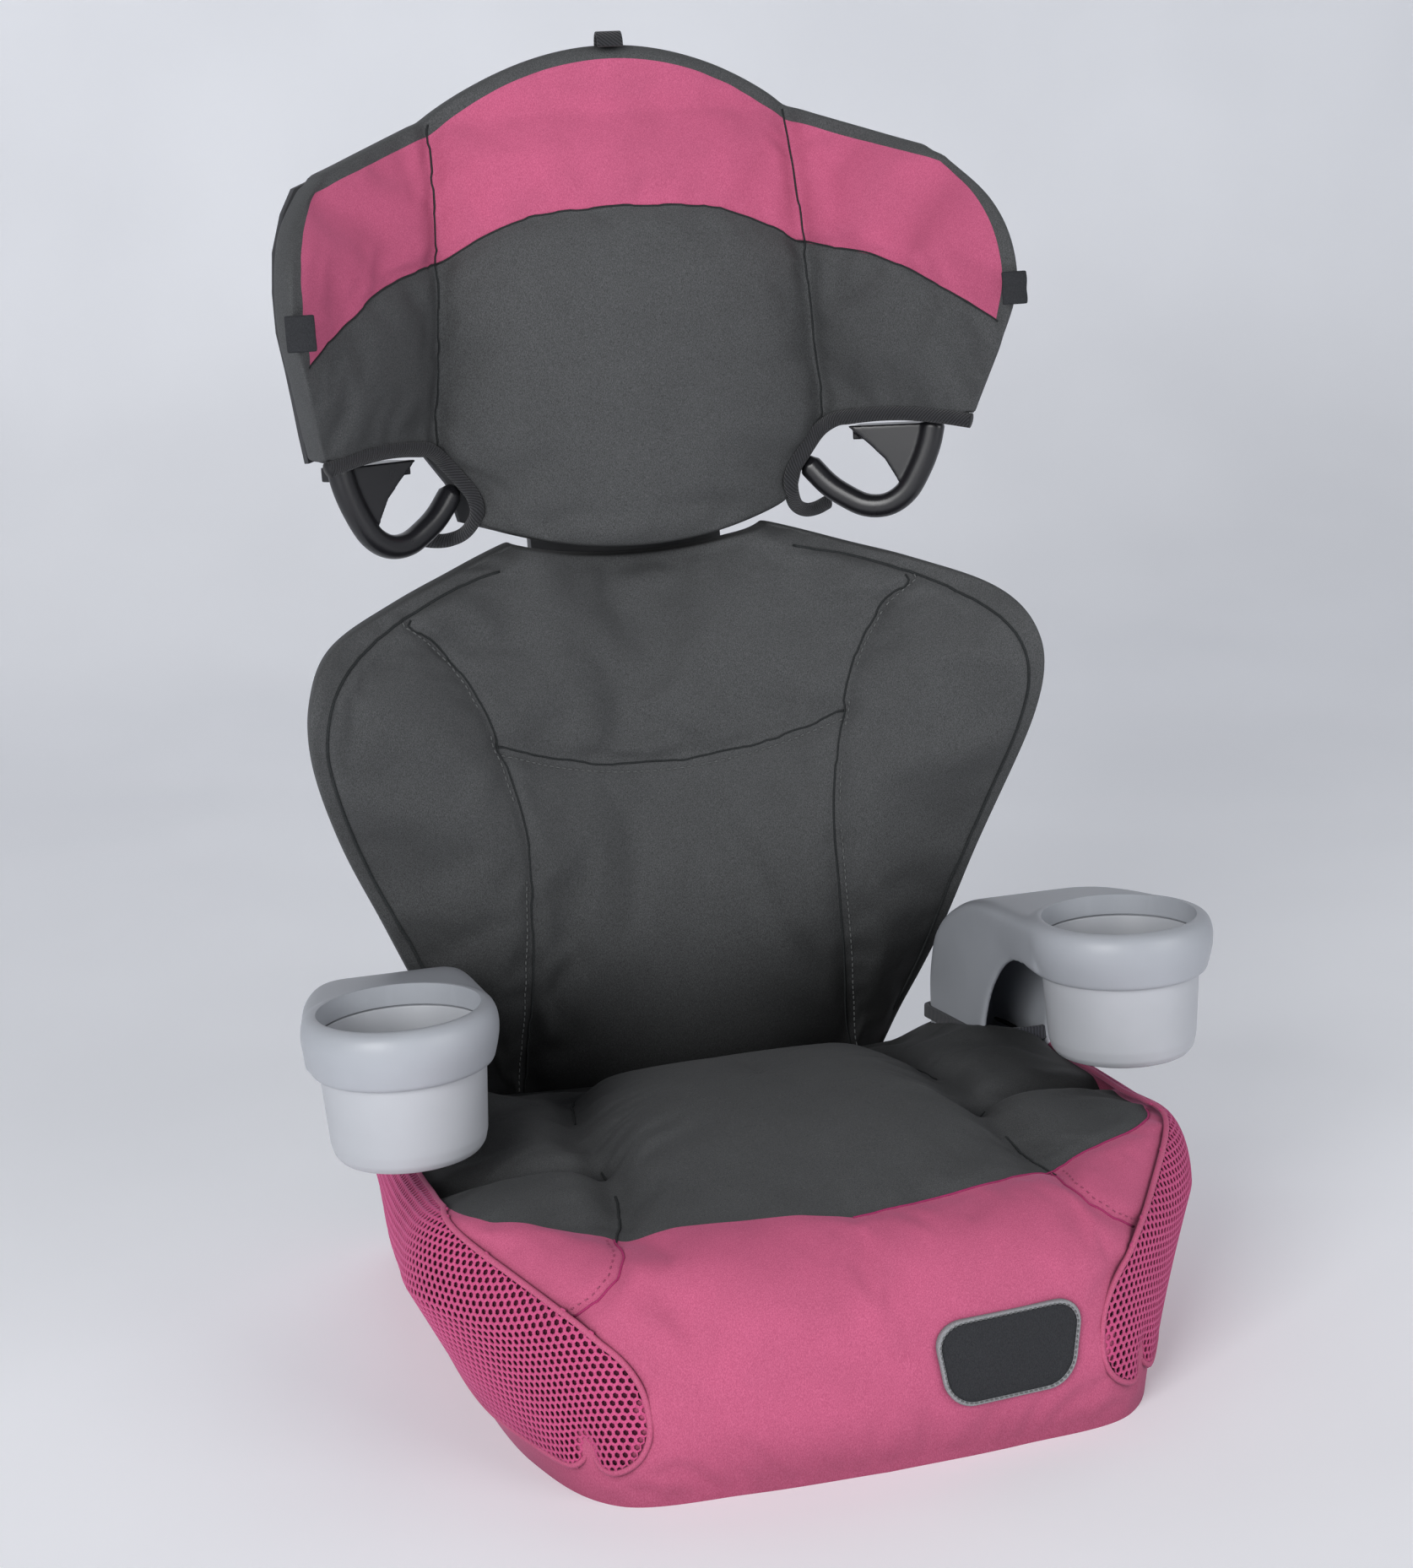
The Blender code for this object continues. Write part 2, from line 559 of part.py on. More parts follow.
def make_armrest(side, word):
    """A moulded channel that rises from the base, arches forwards and ends in the cup ring."""
    back_y = curve_through([(0, ARM_REAR), (0.42, ARM_REAR), (0.5, 0.151), (0.58, 0.141), (0.7, 0.116),
                            (0.85, 0.065), (1, -0.020)])
    back_z = curve_through([(0, ARM_FOOT), (0.3, 0.105), (0.42, 0.132), (0.5, 0.154), (0.58, 0.173),
                            (0.7, 0.193), (0.85, 0.2063), (1, 0.2118)])
    front_y = curve_through([(0, ARM_FRONT), (0.42, ARM_FRONT), (0.5, 0.053), (0.58, 0.045), (0.7, 0.030),
                             (0.85, 0.010), (1, -0.020)])
    front_z = curve_through([(0, ARM_FOOT), (0.3, 0.105), (0.42, 0.130), (0.5, 0.145), (0.58, 0.158),
                             (0.7, 0.1745), (0.85, 0.1852), (1, 0.1886)])
    inner_x = curve_through([(0, ARM_FOOT_X - ARM_FOOT_HALF), (0.3, ARM_X - ARM_HALF),
                             (0.36, ARM_X - ARM_HALF), (1, ARM_X - ARM_HALF)])
    outer_x = curve_through([(0, ARM_FOOT_X + ARM_FOOT_HALF), (0.3, ARM_X + ARM_HALF),
                             (0.36, ARM_X + ARM_HALF), (0.42, ARM_X + ARM_HALF), (0.5, 0.193), (0.65, 0.203),
                             (0.8, 0.221), (0.92, 0.2357), (1, 0.2411)])

    def point(u, v):
        wide = (outer_x(v) - inner_x(v)) / 2
        a = abs(u)
        front = Vector((front_y(v), front_z(v)))
        back = Vector((back_y(v), back_z(v)))
        depth = (back - front).length
        round_off = min(0.014, depth * 0.45)
        if a > 0.55:
            across, deep = wide, (1 - a) / 0.45 * (depth - round_off)
        elif a > 0.30:
            turn = (0.55 - a) / 0.25 * math.pi / 2
            across = wide - round_off * (1 - math.cos(turn))
            deep = depth - round_off * (1 - math.sin(turn))
        else:
            across, deep = (wide - round_off) * a / 0.30, depth
        spot = front + (back - front).normalized() * deep
        middle_x = (outer_x(v) + inner_x(v)) / 2
        return Vector((side * middle_x + (across if u > 0 else -across), spot.x, spot.y))

    arm = sheet(f"armrest_{word}", point, None, 10, 12, plastic_grey, parts)
    wall = arm.modifiers.new("wall", "SOLIDIFY")
    wall.thickness = ARM_WALL
    wall.offset = 1.0
    inside = ARM_FOOT_HALF - 0.001
    foot = box(f"arm_foot_{word}", (side * ARM_FOOT_X - inside, ARM_FRONT + 0.001, ARM_FOOT + GAP),
               (side * ARM_FOOT_X + inside, ARM_REAR - 0.002, ARM_FOOT + 0.010))
    ring = turned(f"ring_{word}", [(0.040, RING_BOTTOM), (0.040, 0.210), (0.0428, RING_TOP), (0.0462, 0.2135),
                                   (0.0490, 0.208), (RING_OUTER, 0.200), (0.0486, 0.190),
                                   (0.0468, RING_BOTTOM)],
                  (side * CUP_X, CUP_Y, 0), None, cutters)
    join(arm, ring, foot)
    cut(arm, turned(f"cup_bore_{word}", [(0, 0.25), (RING_LIP, 0.25), (RING_LIP, 0.2035),
                                         (CUP_TOP_RADIUS + GAP, 0.2035),
                                         (CUP_TOP_RADIUS + GAP, 0.10), (0, 0.10)], (side * CUP_X, CUP_Y, 0),
                    None, cutters,
                    steps=36))
    for y in (ARM_FRONT + 0.025, ARM_REAR - 0.025):
        cut(arm, cylinder(f"foot_bore_{word}_{y:.3f}", 0.0022, 0.02, (side * ARM_FOOT_X, y, ARM_FOOT),
                          (0, 0, 1)))
    return arm


def make_cup(side, word):
    """The thin cup pressed up into the ring from below."""
    wall = 0.0022
    top = 0.2025
    return turned(f"cup_{word}", [(0, CUP_BOTTOM + wall), (CUP_BOTTOM_RADIUS - wall - 0.004,
                                                           CUP_BOTTOM + wall),
                                  (CUP_BOTTOM_RADIUS - wall, CUP_BOTTOM + wall + 0.004),
                                  (CUP_TOP_RADIUS - wall, top),
                                  (CUP_TOP_RADIUS - 0.0002, top), (CUP_BOTTOM_RADIUS, CUP_BOTTOM + 0.006),
                                  (CUP_BOTTOM_RADIUS - 0.005, CUP_BOTTOM), (0, CUP_BOTTOM)],
                  (side * CUP_X, CUP_Y, 0), plastic_pale, parts, steps=28)


def make_arm_binding(side, word):
    """The elastic binding round the hole that the armrest column passes through."""
    clear = 0.0030
    low_x, high_x = side * ARM_X - ARM_HALF - clear, side * ARM_X + ARM_HALF + clear
    low_y, high_y = ARM_FRONT - clear, ARM_REAR + clear
    curve = bpy.data.curves.new(f"arm_binding_{word}", "CURVE")
    curve.dimensions = "3D"
    curve.bevel_depth = 0.0024
    curve.bevel_resolution = 1
    spline = curve.splines.new("POLY")
    corner = 0.003
    spots = []
    for x, y, first in ((high_x, low_y, -90), (high_x, high_y, 0), (low_x, high_y, 90), (low_x, low_y, 180)):
        cx = x - corner if x == high_x else x + corner
        cy = y - corner if y == high_y else y + corner
        for step in range(3):
            angle = math.radians(first + 45 * step)
            spots.append((cx + corner * math.cos(angle), cy + corner * math.sin(angle)))
    spline.points.add(len(spots) - 1)
    for point, (x, y) in zip(spline.points, spots):
        point.co = (x, y, 0.1265 - 0.16 * (y - ARM_FRONT) - 0.1 * (abs(x) - ARM_X + ARM_HALF), 1)
    spline.use_cyclic_u = True
    obj = bpy.data.objects.new(f"arm_binding_{word}", curve)
    obj.data.materials.append(webbing_black)
    parts.objects.link(obj)
    return obj


def screw(name, spot, axis, length, finish, parent=None, radius=0.0018, head=0.0038, head_height=0.0022):
    """A pan-head screw. Its shank starts under the head at the spot and runs along the axis."""
    profile = [(0, -head_height), (head * 0.7, -head_height), (head, -head_height * 0.5), (head, 0),
               (radius, 0),
               (radius, length), (0, length)]
    obj = turned(name, [(r, -z) for r, z in reversed(profile)][::-1], spot, finish, parts, steps=8)
    obj.data.flip_normals()
    obj.rotation_mode = "QUATERNION"
    obj.rotation_quaternion = Vector((0, 0, -1)).rotation_difference(Vector(axis))
    obj.parent = parent
    return obj


def make_arm_screws():
    for side, word in ((-1, "left"), (1, "right")):
        for y, end in ((ARM_FRONT + 0.025, "front"), (ARM_REAR - 0.025, "rear")):
            screw(f"armrest_screw_{word}_{end}", (side * ARM_FOOT_X, y, ARM_FOOT - 0.005 - GAP), (0, 0, 1),
                  0.014, steel)


def make_hinge_pins():
    """The two pins that the back hooks turn on."""
    for side, word in ((-1, "left"), (1, "right")):
        length = 2 * (KNUCKLE_HALF + EAR_THICK + 2 * GAP)
        cylinder(f"hinge_pin_{word}", PIN_RADIUS, length, (side * HINGE_X, HINGE_Y, HINGE_Z), (1, 0, 0),
                 steel, parts)


# ---- backrest ----
def back_rib(name, x, thick, behind_hinge, v):
    """An upright rib from the back shell to a plane behind the hinge line."""
    def at(shift):
        def point(a, v_here):
            skin = behind(back_point, BACK_PAD + SHELL / 2, BACK_SPLAY)(x / BACK_EDGE_X(v_here), v_here)
            rear = HINGE_Y + behind_hinge + (skin.z - HINGE_Z) * math.tan(RECLINE)
            return Vector((x + shift, skin.y + (rear - skin.y) * a, skin.z))
        return point
    return sheet(name, at(-thick / 2), at(thick / 2), 1, 13, None, cutters, u=(0, 1), v=v)


def make_back_shell(tilted):
    """The moulded back with its two hinge hooks and the spine that the headrest slides on."""
    shell = sheet("back_shell", behind(back_point, BACK_PAD, BACK_SPLAY),
                  behind(back_point, BACK_PAD + SHELL, BACK_SPLAY), 8, BACK_ROWS, plastic_dark, parts,
                  u=(-0.94, 0.94),
                  v=(0.04, 0.985))
    plate = box("spine_plate", (-SPINE_HALF, SPINE_FRONT, SPINE_BOTTOM),
                (SPINE_HALF, SPINE_FRONT + SPINE_PLATE, SPINE_TOP), parent=tilted)
    flange_x = SPINE_HALF - 0.002
    flanges = [box(f"spine_flange_{side}", (side * flange_x - 0.002, SPINE_FRONT + 0.001, SPINE_BOTTOM),
                   (side * flange_x + 0.002, SPINE_FRONT + SPINE_PLATE + SPINE_FLANGE, SPINE_TOP),
                   parent=tilted) for side in (-1, 1)]
    webs = [back_rib(f"spine_web_{side}", side * 0.050, RIB, SPINE_FRONT + 0.002, (0.84, 0.965))
            for side in (-1, 1)]
    knuckles = []
    for side in (-1, 1):
        at = (side * HINGE_X, HINGE_Y, HINGE_Z)
        knuckles.append(cylinder(f"knuckle_{side}", KNUCKLE_RADIUS, 2 * KNUCKLE_HALF, at, (1, 0, 0)))
        knuckles.append(box(f"hook_{side}", (side * HINGE_X - KNUCKLE_HALF, HINGE_Y - 0.008, HINGE_Z + 0.003),
                            (side * HINGE_X + KNUCKLE_HALF, HINGE_Y + 0.004, 0.090)))
    ribs = [back_rib(f"back_rib_{side}", side * HINGE_X, RIB, 0.006, (0.05, 0.85)) for side in (-1, 1)]
    join(shell, *ribs, *webs, plate, *flanges, *knuckles)
    for side in (-1, 1):
        cut(shell, cylinder(f"knuckle_bore_{side}", PIN_RADIUS + PIN_PLAY, 0.05,
                            (side * HINGE_X, HINGE_Y, HINGE_Z),
                            (1, 0, 0)))
    for i in range(NOTCHES):
        at = TOOTH_S + i * NOTCH_PITCH
        cut(shell, box(f"notch_{i}", (-0.018, SPINE_FRONT - 0.01, at - 0.0065),
                       (0.018, SPINE_FRONT + 0.02, at + 0.0025),
                       parent=tilted))
    return shell


def make_back_pad():
    foam = sheet("back_foam", behind(back_point, COVER + LAYER, BACK_SPLAY),
                 behind(back_point, COVER + LAYER + BACK_FOAM, BACK_SPLAY), 8, BACK_ROWS, foam_white, parts,
                 u=(-0.95, 0.95), v=(0.13, 0.98))
    cover = sheet("back_cover", back_point, behind(back_point, COVER, BACK_SPLAY), 8, BACK_ROWS,
                  fabric_charcoal,
                  parts)
    return foam, cover


# ---- headrest ----
def tube(name, path, radius, finish, collection, sides=2, cyclic=False):
    """A round bar or cord along a path of points."""
    curve = bpy.data.curves.new(name, "CURVE")
    curve.dimensions = "3D"
    curve.bevel_depth = radius
    curve.bevel_resolution = sides
    curve.use_fill_caps = True
    spline = curve.splines.new("POLY")
    spline.points.add(len(path) - 1)
    for point, spot in zip(spline.points, path):
        point.co = (*spot, 1)
    spline.use_cyclic_u = cyclic
    obj = bpy.data.objects.new(name, curve)
    if finish:
        curve.materials.append(finish)
    collection.objects.link(obj)
    return obj


def solid_from(curve_object):
    """A curve made into a closed mesh object, so that a Boolean can use it."""
    bpy.context.view_layer.update()
    evaluated = curve_object.evaluated_get(bpy.context.evaluated_depsgraph_get())
    mesh = bpy.data.meshes.new_from_object(evaluated)
    bm = bmesh.new()
    bm.from_mesh(mesh)
    bmesh.ops.remove_doubles(bm, verts=bm.verts, dist=0.00001)
    name, place_matrix = curve_object.name, curve_object.matrix_world.copy()
    finish = curve_object.data.materials[0] if curve_object.data.materials else None
    holder = curve_object.users_collection[0]
    bpy.data.objects.remove(curve_object)
    made = place(name, mesh_from(bm, name), None, holder, smooth=True)
    if finish and not made.data.materials:
        made.data.materials.append(finish)
    made.matrix_world = place_matrix
    return made


def flat_plate(name, outline, thickness, matrix):
    """A flat outline, thick about its own plane, placed by a matrix."""
    curve = bpy.data.curves.new(name, "CURVE")
    curve.dimensions = "2D"
    curve.fill_mode = "BOTH"
    curve.extrude = thickness / 2
    spline = curve.splines.new("POLY")
    spline.points.add(len(outline) - 1)
    for point, (a, b) in zip(spline.points, outline):
        point.co = (a, b, 0, 1)
    spline.use_cyclic_u = True
    obj = bpy.data.objects.new(name, curve)
    obj.matrix_world = matrix
    cutters.objects.link(obj)
    return solid_from(obj)


def rounded_path(points, steps=4):
    """A smooth path through the points."""
    last = len(points) - 1
    curves = [curve_through([(i, point[axis]) for i, point in enumerate(points)])
              for axis in range(len(points[0]))]
    return [Vector([curve(i / steps) for curve in curves]) for i in range(last * steps + 1)]


def standoff(name, start, end, radius=0.004):
    """A boss from one point to another."""
    return cylinder(name, radius, (end - start).length, (start + end) / 2, end - start, sides=12)


def make_headrest_shell():
    return sheet("headrest_shell", behind(head_point, HEAD_PAD, HEAD_SPLAY),
                 behind(head_point, HEAD_PAD + SHELL, HEAD_SPLAY), 10, 10, plastic_dark, parts,
                 u=(-0.96, 0.96), v=(0.0, 0.97), keep=on_head)


def make_head_pad():
    front = behind(head_point, COVER + LAYER, HEAD_SPLAY)
    rear = behind(head_point, COVER + LAYER + HEAD_FOAM, HEAD_SPLAY)
    sheet("head_foam", front, rear, 10, 10, foam_white, parts, u=(-0.45, 0.45), v=(0.015, 0.965))
    for side, word in ((-1, "left"), (1, "right")):
        low, high = sorted((side * 0.51, side * 0.955))
        sheet(f"wing_foam_{word}", front, rear, 10, 10, foam_white, parts, u=(low, high),
              v=(NOTCH_V + 0.02, 0.965))
    sheet("headrest_cover", head_point, behind(head_point, COVER, HEAD_SPLAY), 10, 10, fabric_charcoal, parts,
          keep=on_head)


def make_wing_binding(side, word):
    """The ribbed tape that binds the cover's edge under a wing and round the belt guide."""
    path = [(0.188, 0.143, 0.4685), (0.155, 0.170, 0.4715), (0.1275, 0.202, 0.4690), (0.1095, 0.216, 0.4560),
            (0.1030, 0.221, 0.4400), (0.1040, 0.229, 0.4265), (0.1160, 0.240, 0.4180),
            (0.1420, 0.246, 0.4130)]
    spots = [Vector((side * x, y, z)) for x, y, z in path]
    tube(f"wing_binding_{word}", rounded_path(spots, 3), 0.0038, webbing_black, parts)


def guide_frame(side):
    """The guide's own plane: first axis outwards, second up, third forwards."""
    out = Vector((side * math.cos(GUIDE_TURN), -math.sin(GUIDE_TURN), 0))
    up = Vector((0, 0, 1))
    facing = out.cross(up) if side > 0 else up.cross(out)
    matrix = Matrix((out, up, facing)).transposed().to_4x4()
    matrix.translation = Vector((side * GUIDE_ORIGIN.x, GUIDE_ORIGIN.y, GUIDE_ORIGIN.z))
    return matrix


def make_belt_guide(side, word):
    """The moulded hook that holds the shoulder belt: a bar, a web, and a tab screwed to the shell."""
    frame = guide_frame(side)
    bar_path = rounded_path([Vector((a, b, 0)) for a, b in (
        (-0.040, 0.006), (-0.023, -0.010), (-0.008, -0.0175), (0.006, -0.0175), (0.018, -0.010),
                                                            (0.027, 0.004),
        (0.035, 0.028))], 3)
    guide = solid_from(tube(f"belt_guide_{word}", [frame @ spot for spot in bar_path], GUIDE_BAR,
                            plastic_black, parts))
    web = [(-0.0165, 0.031), (-0.004, 0.020), (0.006, 0.010), (0.014, -0.004), (0.022, -0.004),
           (0.034, 0.014),
           (0.037, 0.031)]
    shelf = [(-0.014, 0.0225), (0.034, 0.0225), (0.034, 0.031), (-0.014, 0.031)]
    reach = 0.020
    back_there = Matrix.Translation(-frame.col[2].xyz * (reach / 2 - 0.001))
    low, high = sorted((side * 0.56, side * 0.82))
    tab_front = HEAD_PAD + SHELL + LAYER
    tab = sheet(f"guide_tab_{word}", behind(head_point, tab_front, HEAD_SPLAY),
                behind(head_point, tab_front + GUIDE_PLATE, HEAD_SPLAY), 10, 10, None, cutters, u=(low, high),
                v=(0.135, 0.42))
    join(guide, flat_plate(f"guide_web_{word}", web, GUIDE_PLATE, frame),
         flat_plate(f"guide_shelf_{word}", shelf, reach, back_there @ frame), tab)
    for u, end in ((0.62, "inner"), (0.76, "outer")):
        anchor = behind(head_point, tab_front + GUIDE_PLATE, HEAD_SPLAY)(side * u, 0.30)
        inside = behind(head_point, HEAD_PAD, HEAD_SPLAY)(side * u, 0.30)
        axis = (inside - anchor).normalized()
        bore = standoff(f"guide_bore_{word}_{end}", anchor - axis * 0.005, inside + axis * 0.001, 0.0016)
        cut(guide, bore)
        cut(headrest_shell, bore)
        screw(f"guide_screw_{word}_{end}", anchor - axis * LAYER, axis, (anchor - inside).length, steel,
              radius=0.0013, head=0.0032, head_height=0.0018)


def make_tag(side, word):
    """A blank folded tag sewn into the wing's hem."""
    x = 0.2110 * side
    box(f"side_tag_{word}", (x - 0.0055, 0.1025, 0.540), (x + 0.0055, 0.1037, 0.556), webbing_black, parts)


def make_top_loop():
    """The small loop of tape sewn into the middle of the top hem."""
    path = [(0, 0.2045, 0.7005), (0, 0.2060, 0.7050), (0, 0.2090, 0.7060), (0, 0.2120, 0.7040),
            (0, 0.2130, 0.7000)]
    frames = rounded_path([Vector(spot) for spot in path], 2)
    last = len(frames) - 1

    def at(lift):
        def point(u, v):
            spot = frames[round(v * last)]
            out = (spot - Vector((0, 0.209, 0.698))).normalized()
            return Vector((0.007 * u, spot.y, spot.z)) + out * lift
        return point
    sheet("top_loop", at(0.0012), at(0), 1, last, webbing_black, parts)


# ---- height adjuster ----
def make_carriage(tilted):
    """The sleeve behind the headrest that slides on the spine, with its four screws."""
    wall = CARRIAGE_WALL
    carriage = box("headrest_carriage", (-CARRIAGE_HALF, CARRIAGE_FRONT, CARRIAGE_BOTTOM),
                   (CARRIAGE_HALF, CARRIAGE_REAR, CARRIAGE_TOP), plastic_dark, parts, bevel=0.002,
                   parent=tilted)
    cut(carriage, box("sleeve_room", (-CARRIAGE_HALF + wall, CARRIAGE_FRONT + wall, CARRIAGE_BOTTOM - 0.01),
                      (CARRIAGE_HALF - wall, CARRIAGE_REAR - wall, CARRIAGE_TOP + 0.01), parent=tilted))
    ears = [box(f"lever_ear_{side}", (side * EAR_X - 0.002, CARRIAGE_REAR - 0.001, PIVOT_S - 0.010),
                (side * EAR_X + 0.002, PIVOT_N + 0.007, PIVOT_S + 0.010), bevel=0.001, parent=tilted)
            for side in (-1, 1)]
    join(carriage, *ears)
    cut(carriage, box("tooth_window", (-0.020, CARRIAGE_REAR - 0.008, TOOTH_S - 0.014),
                      (0.020, CARRIAGE_REAR + 0.004, TOOTH_S + 0.016), parent=tilted))
    cut(carriage, cylinder("ear_pin_bore", PIVOT_BORE, 0.08, (0, PIVOT_N, PIVOT_S), (1, 0, 0), parent=tilted))
    bpy.context.view_layer.update()
    to_world = tilted.matrix_world
    for x in (-0.045, 0.045):
        for s, row in ((CARRIAGE_BOTTOM + 0.020, "lower"), (CARRIAGE_TOP - 0.018, "upper")):
            word = ("left_" if x < 0 else "right_") + row
            wall_back = to_world @ Vector((x, CARRIAGE_FRONT + wall, s))
            wall_front = to_world @ Vector((x, CARRIAGE_FRONT, s))
            axis = (wall_front - wall_back).normalized()
            skin = shell_rear_at(x, wall_front.z)
            tip = wall_front + axis * (wall_front.y - skin) / abs(axis.y)
            join(headrest_shell, standoff(f"carriage_boss_{word}", wall_front + axis * GAP,
                                          tip + axis * 0.001, 0.005))
            bore = standoff(f"carriage_bore_{word}", wall_back - axis * 0.008, wall_front + axis * 0.009,
                            0.0018)
            cut(headrest_shell, bore)
            cut(carriage, bore)
            screw(f"carriage_screw_{word}", wall_back - axis * GAP, axis, 0.011, steel, radius=0.0014,
                  head=0.0034,
                  head_height=0.0020)
    return carriage


def shell_rear_at(x, z):
    """Where the rear of the headrest shell's middle column lies."""
    rear = behind(head_point, HEAD_PAD + SHELL, HEAD_SPLAY)
    v = (z - HEAD_CORNER_Z) / (HEAD_SEAM_TOP - HEAD_CORNER_Z)
    u = 0.5 * x / HEAD_SEAM_X(z)
    return rear(u, v).y


def make_lever(tilted):
    """The squeeze lever: a grip above the pivot, and a tooth below it that drops into the spine's notches."""
    lever = box("release_lever", (-0.018, PIVOT_N - 0.0015, TOOTH_S - TOOTH_HALF),
                (0.018, PIVOT_N + 0.0015, 0.600),
                plastic_red, parts, parent=tilted)
    grip = box("lever_grip", (-0.030, PIVOT_N - 0.007, 0.588), (0.030, PIVOT_N + 0.007, 0.612), bevel=0.004,
               parent=tilted)
    barrel = cylinder("lever_barrel", 0.005, 2 * (EAR_X - 0.002 - GAP), (0, PIVOT_N, PIVOT_S), (1, 0, 0),
                      parent=tilted)
    tooth = box("lever_tooth", (-0.015, SPINE_FRONT - 0.002, TOOTH_S - TOOTH_HALF),
                (0.015, PIVOT_N, TOOTH_S + TOOTH_HALF), parent=tilted)
    join(lever, grip, barrel, tooth)
    cut(lever, cylinder("lever_bore", PIVOT_BORE, 0.08, (0, PIVOT_N, PIVOT_S), (1, 0, 0), parent=tilted))
    cylinder("lever_pin", 0.002, 2 * (EAR_X + 0.002), (0, PIVOT_N, PIVOT_S), (1, 0, 0), steel, parts,
             parent=tilted)
    turns, radius, start, end = 4, 0.004, CARRIAGE_REAR + 0.0010, PIVOT_N - 0.0015 - 0.0010
    coil = []
    for i in range(turns * 8 + 1):
        angle = i / 8 * math.tau
        coil.append((radius * math.cos(angle), start + (end - start) * i / (turns * 8),
                     PIVOT_S + 0.018 + radius * math.sin(angle)))
    spring = tube("lever_spring", coil, 0.0005, steel, parts, sides=1)
    spring.parent = tilted
    return lever


# ---- assembly ----
clear_scene()
parts = new_collection("booster_seat")
cutters = new_collection("cutters", hidden=True)

plastic_grey = material("plastic_grey", GREY, 0.38)
plastic_pale = material("plastic_pale", PALE_GREY, 0.40)
plastic_dark = material("plastic_dark", (0.07, 0.07, 0.075), 0.5)
fabric_charcoal = material("fabric_charcoal", CHARCOAL, 0.85)
mesh_pink = material("mesh_pink", MESH_PINK, 0.8)
webbing_black = material("webbing_black", BLACK, 0.8)
plastic_black = material("plastic_black", BLACK, 0.25)
foam_white = material("foam_white", FOAM_WHITE, 0.9)
plastic_red = material("plastic_red", (0.45, 0.03, 0.03), 0.4)
steel = material("steel", STEEL, 0.35, 1.0)

spine_frame = bpy.data.objects.new("spine_frame", None)
spine_frame.location = (0, HINGE_Y, HINGE_Z)
spine_frame.rotation_euler = (-RECLINE, 0, 0)
parts.objects.link(spine_frame)

make_base_shell()
make_seat_foam()
make_seat_cover()
make_front_patch()
for side, word in ((-1, "left"), (1, "right")):
    make_armrest(side, word)
    make_cup(side, word)
    make_arm_binding(side, word)
make_arm_screws()
make_hinge_pins()
make_back_shell(spine_frame)
make_back_pad()
headrest_shell = make_headrest_shell()
make_head_pad()
for side, word in ((-1, "left"), (1, "right")):
    make_wing_binding(side, word)
    make_belt_guide(side, word)
    make_tag(side, word)
make_top_loop()
make_carriage(spine_frame)
make_lever(spine_frame)
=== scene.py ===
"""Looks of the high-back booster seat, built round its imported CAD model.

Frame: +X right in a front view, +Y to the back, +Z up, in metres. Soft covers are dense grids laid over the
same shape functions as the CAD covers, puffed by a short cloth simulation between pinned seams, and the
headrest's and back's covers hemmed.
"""

import math

import bmesh
import bpy
import numpy as np
from mathutils import Matrix, Vector, kdtree, noise
from mathutils.bvhtree import BVHTree


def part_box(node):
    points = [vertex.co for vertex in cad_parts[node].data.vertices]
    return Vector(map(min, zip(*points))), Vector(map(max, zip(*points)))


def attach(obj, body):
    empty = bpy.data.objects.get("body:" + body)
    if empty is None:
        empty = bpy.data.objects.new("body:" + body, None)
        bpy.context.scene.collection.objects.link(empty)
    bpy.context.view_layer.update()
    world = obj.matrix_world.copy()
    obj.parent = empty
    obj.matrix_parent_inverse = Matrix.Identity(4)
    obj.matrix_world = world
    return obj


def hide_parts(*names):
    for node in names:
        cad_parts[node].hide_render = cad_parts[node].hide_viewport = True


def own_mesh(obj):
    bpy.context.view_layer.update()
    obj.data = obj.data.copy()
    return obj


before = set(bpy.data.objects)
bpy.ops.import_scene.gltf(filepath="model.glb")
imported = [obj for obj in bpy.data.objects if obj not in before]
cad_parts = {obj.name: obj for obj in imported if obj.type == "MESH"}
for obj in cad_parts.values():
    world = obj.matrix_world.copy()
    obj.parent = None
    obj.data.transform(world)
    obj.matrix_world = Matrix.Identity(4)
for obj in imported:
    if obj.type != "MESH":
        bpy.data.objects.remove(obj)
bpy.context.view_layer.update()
SIDES = ((-1, "left"), (1, "right"))

# ---- driving dimensions, shared with the CAD ----
BASE_REAR = 0.158
CUP_X, CUP_Y = 0.195, -0.040
RING_TOP = 0.215
RING_OUTER = 0.0495
RING_LIP = 0.0415
CUP_TOP_RADIUS = 0.0435
CUP_BOTTOM_RADIUS = 0.0395
CUP_BOTTOM = 0.138
ARM_X = 0.170
ARM_HALF = 0.022
ARM_FRONT, ARM_REAR = 0.058, 0.156
ARM_FOOT = 0.040
ARM_FOOT_X = 0.164
ARM_FOOT_HALF = 0.0165
ARM_WALL = 0.0035
PATCH_X, PATCH_Z = 0.062, 0.055
PATCH_HALF, PATCH_HALF_HEIGHT, PATCH_CORNER = 0.036, 0.022, 0.014
GUIDE_ORIGIN = Vector((0.148, 0.200, 0.440))
GUIDE_TURN = math.radians(30)


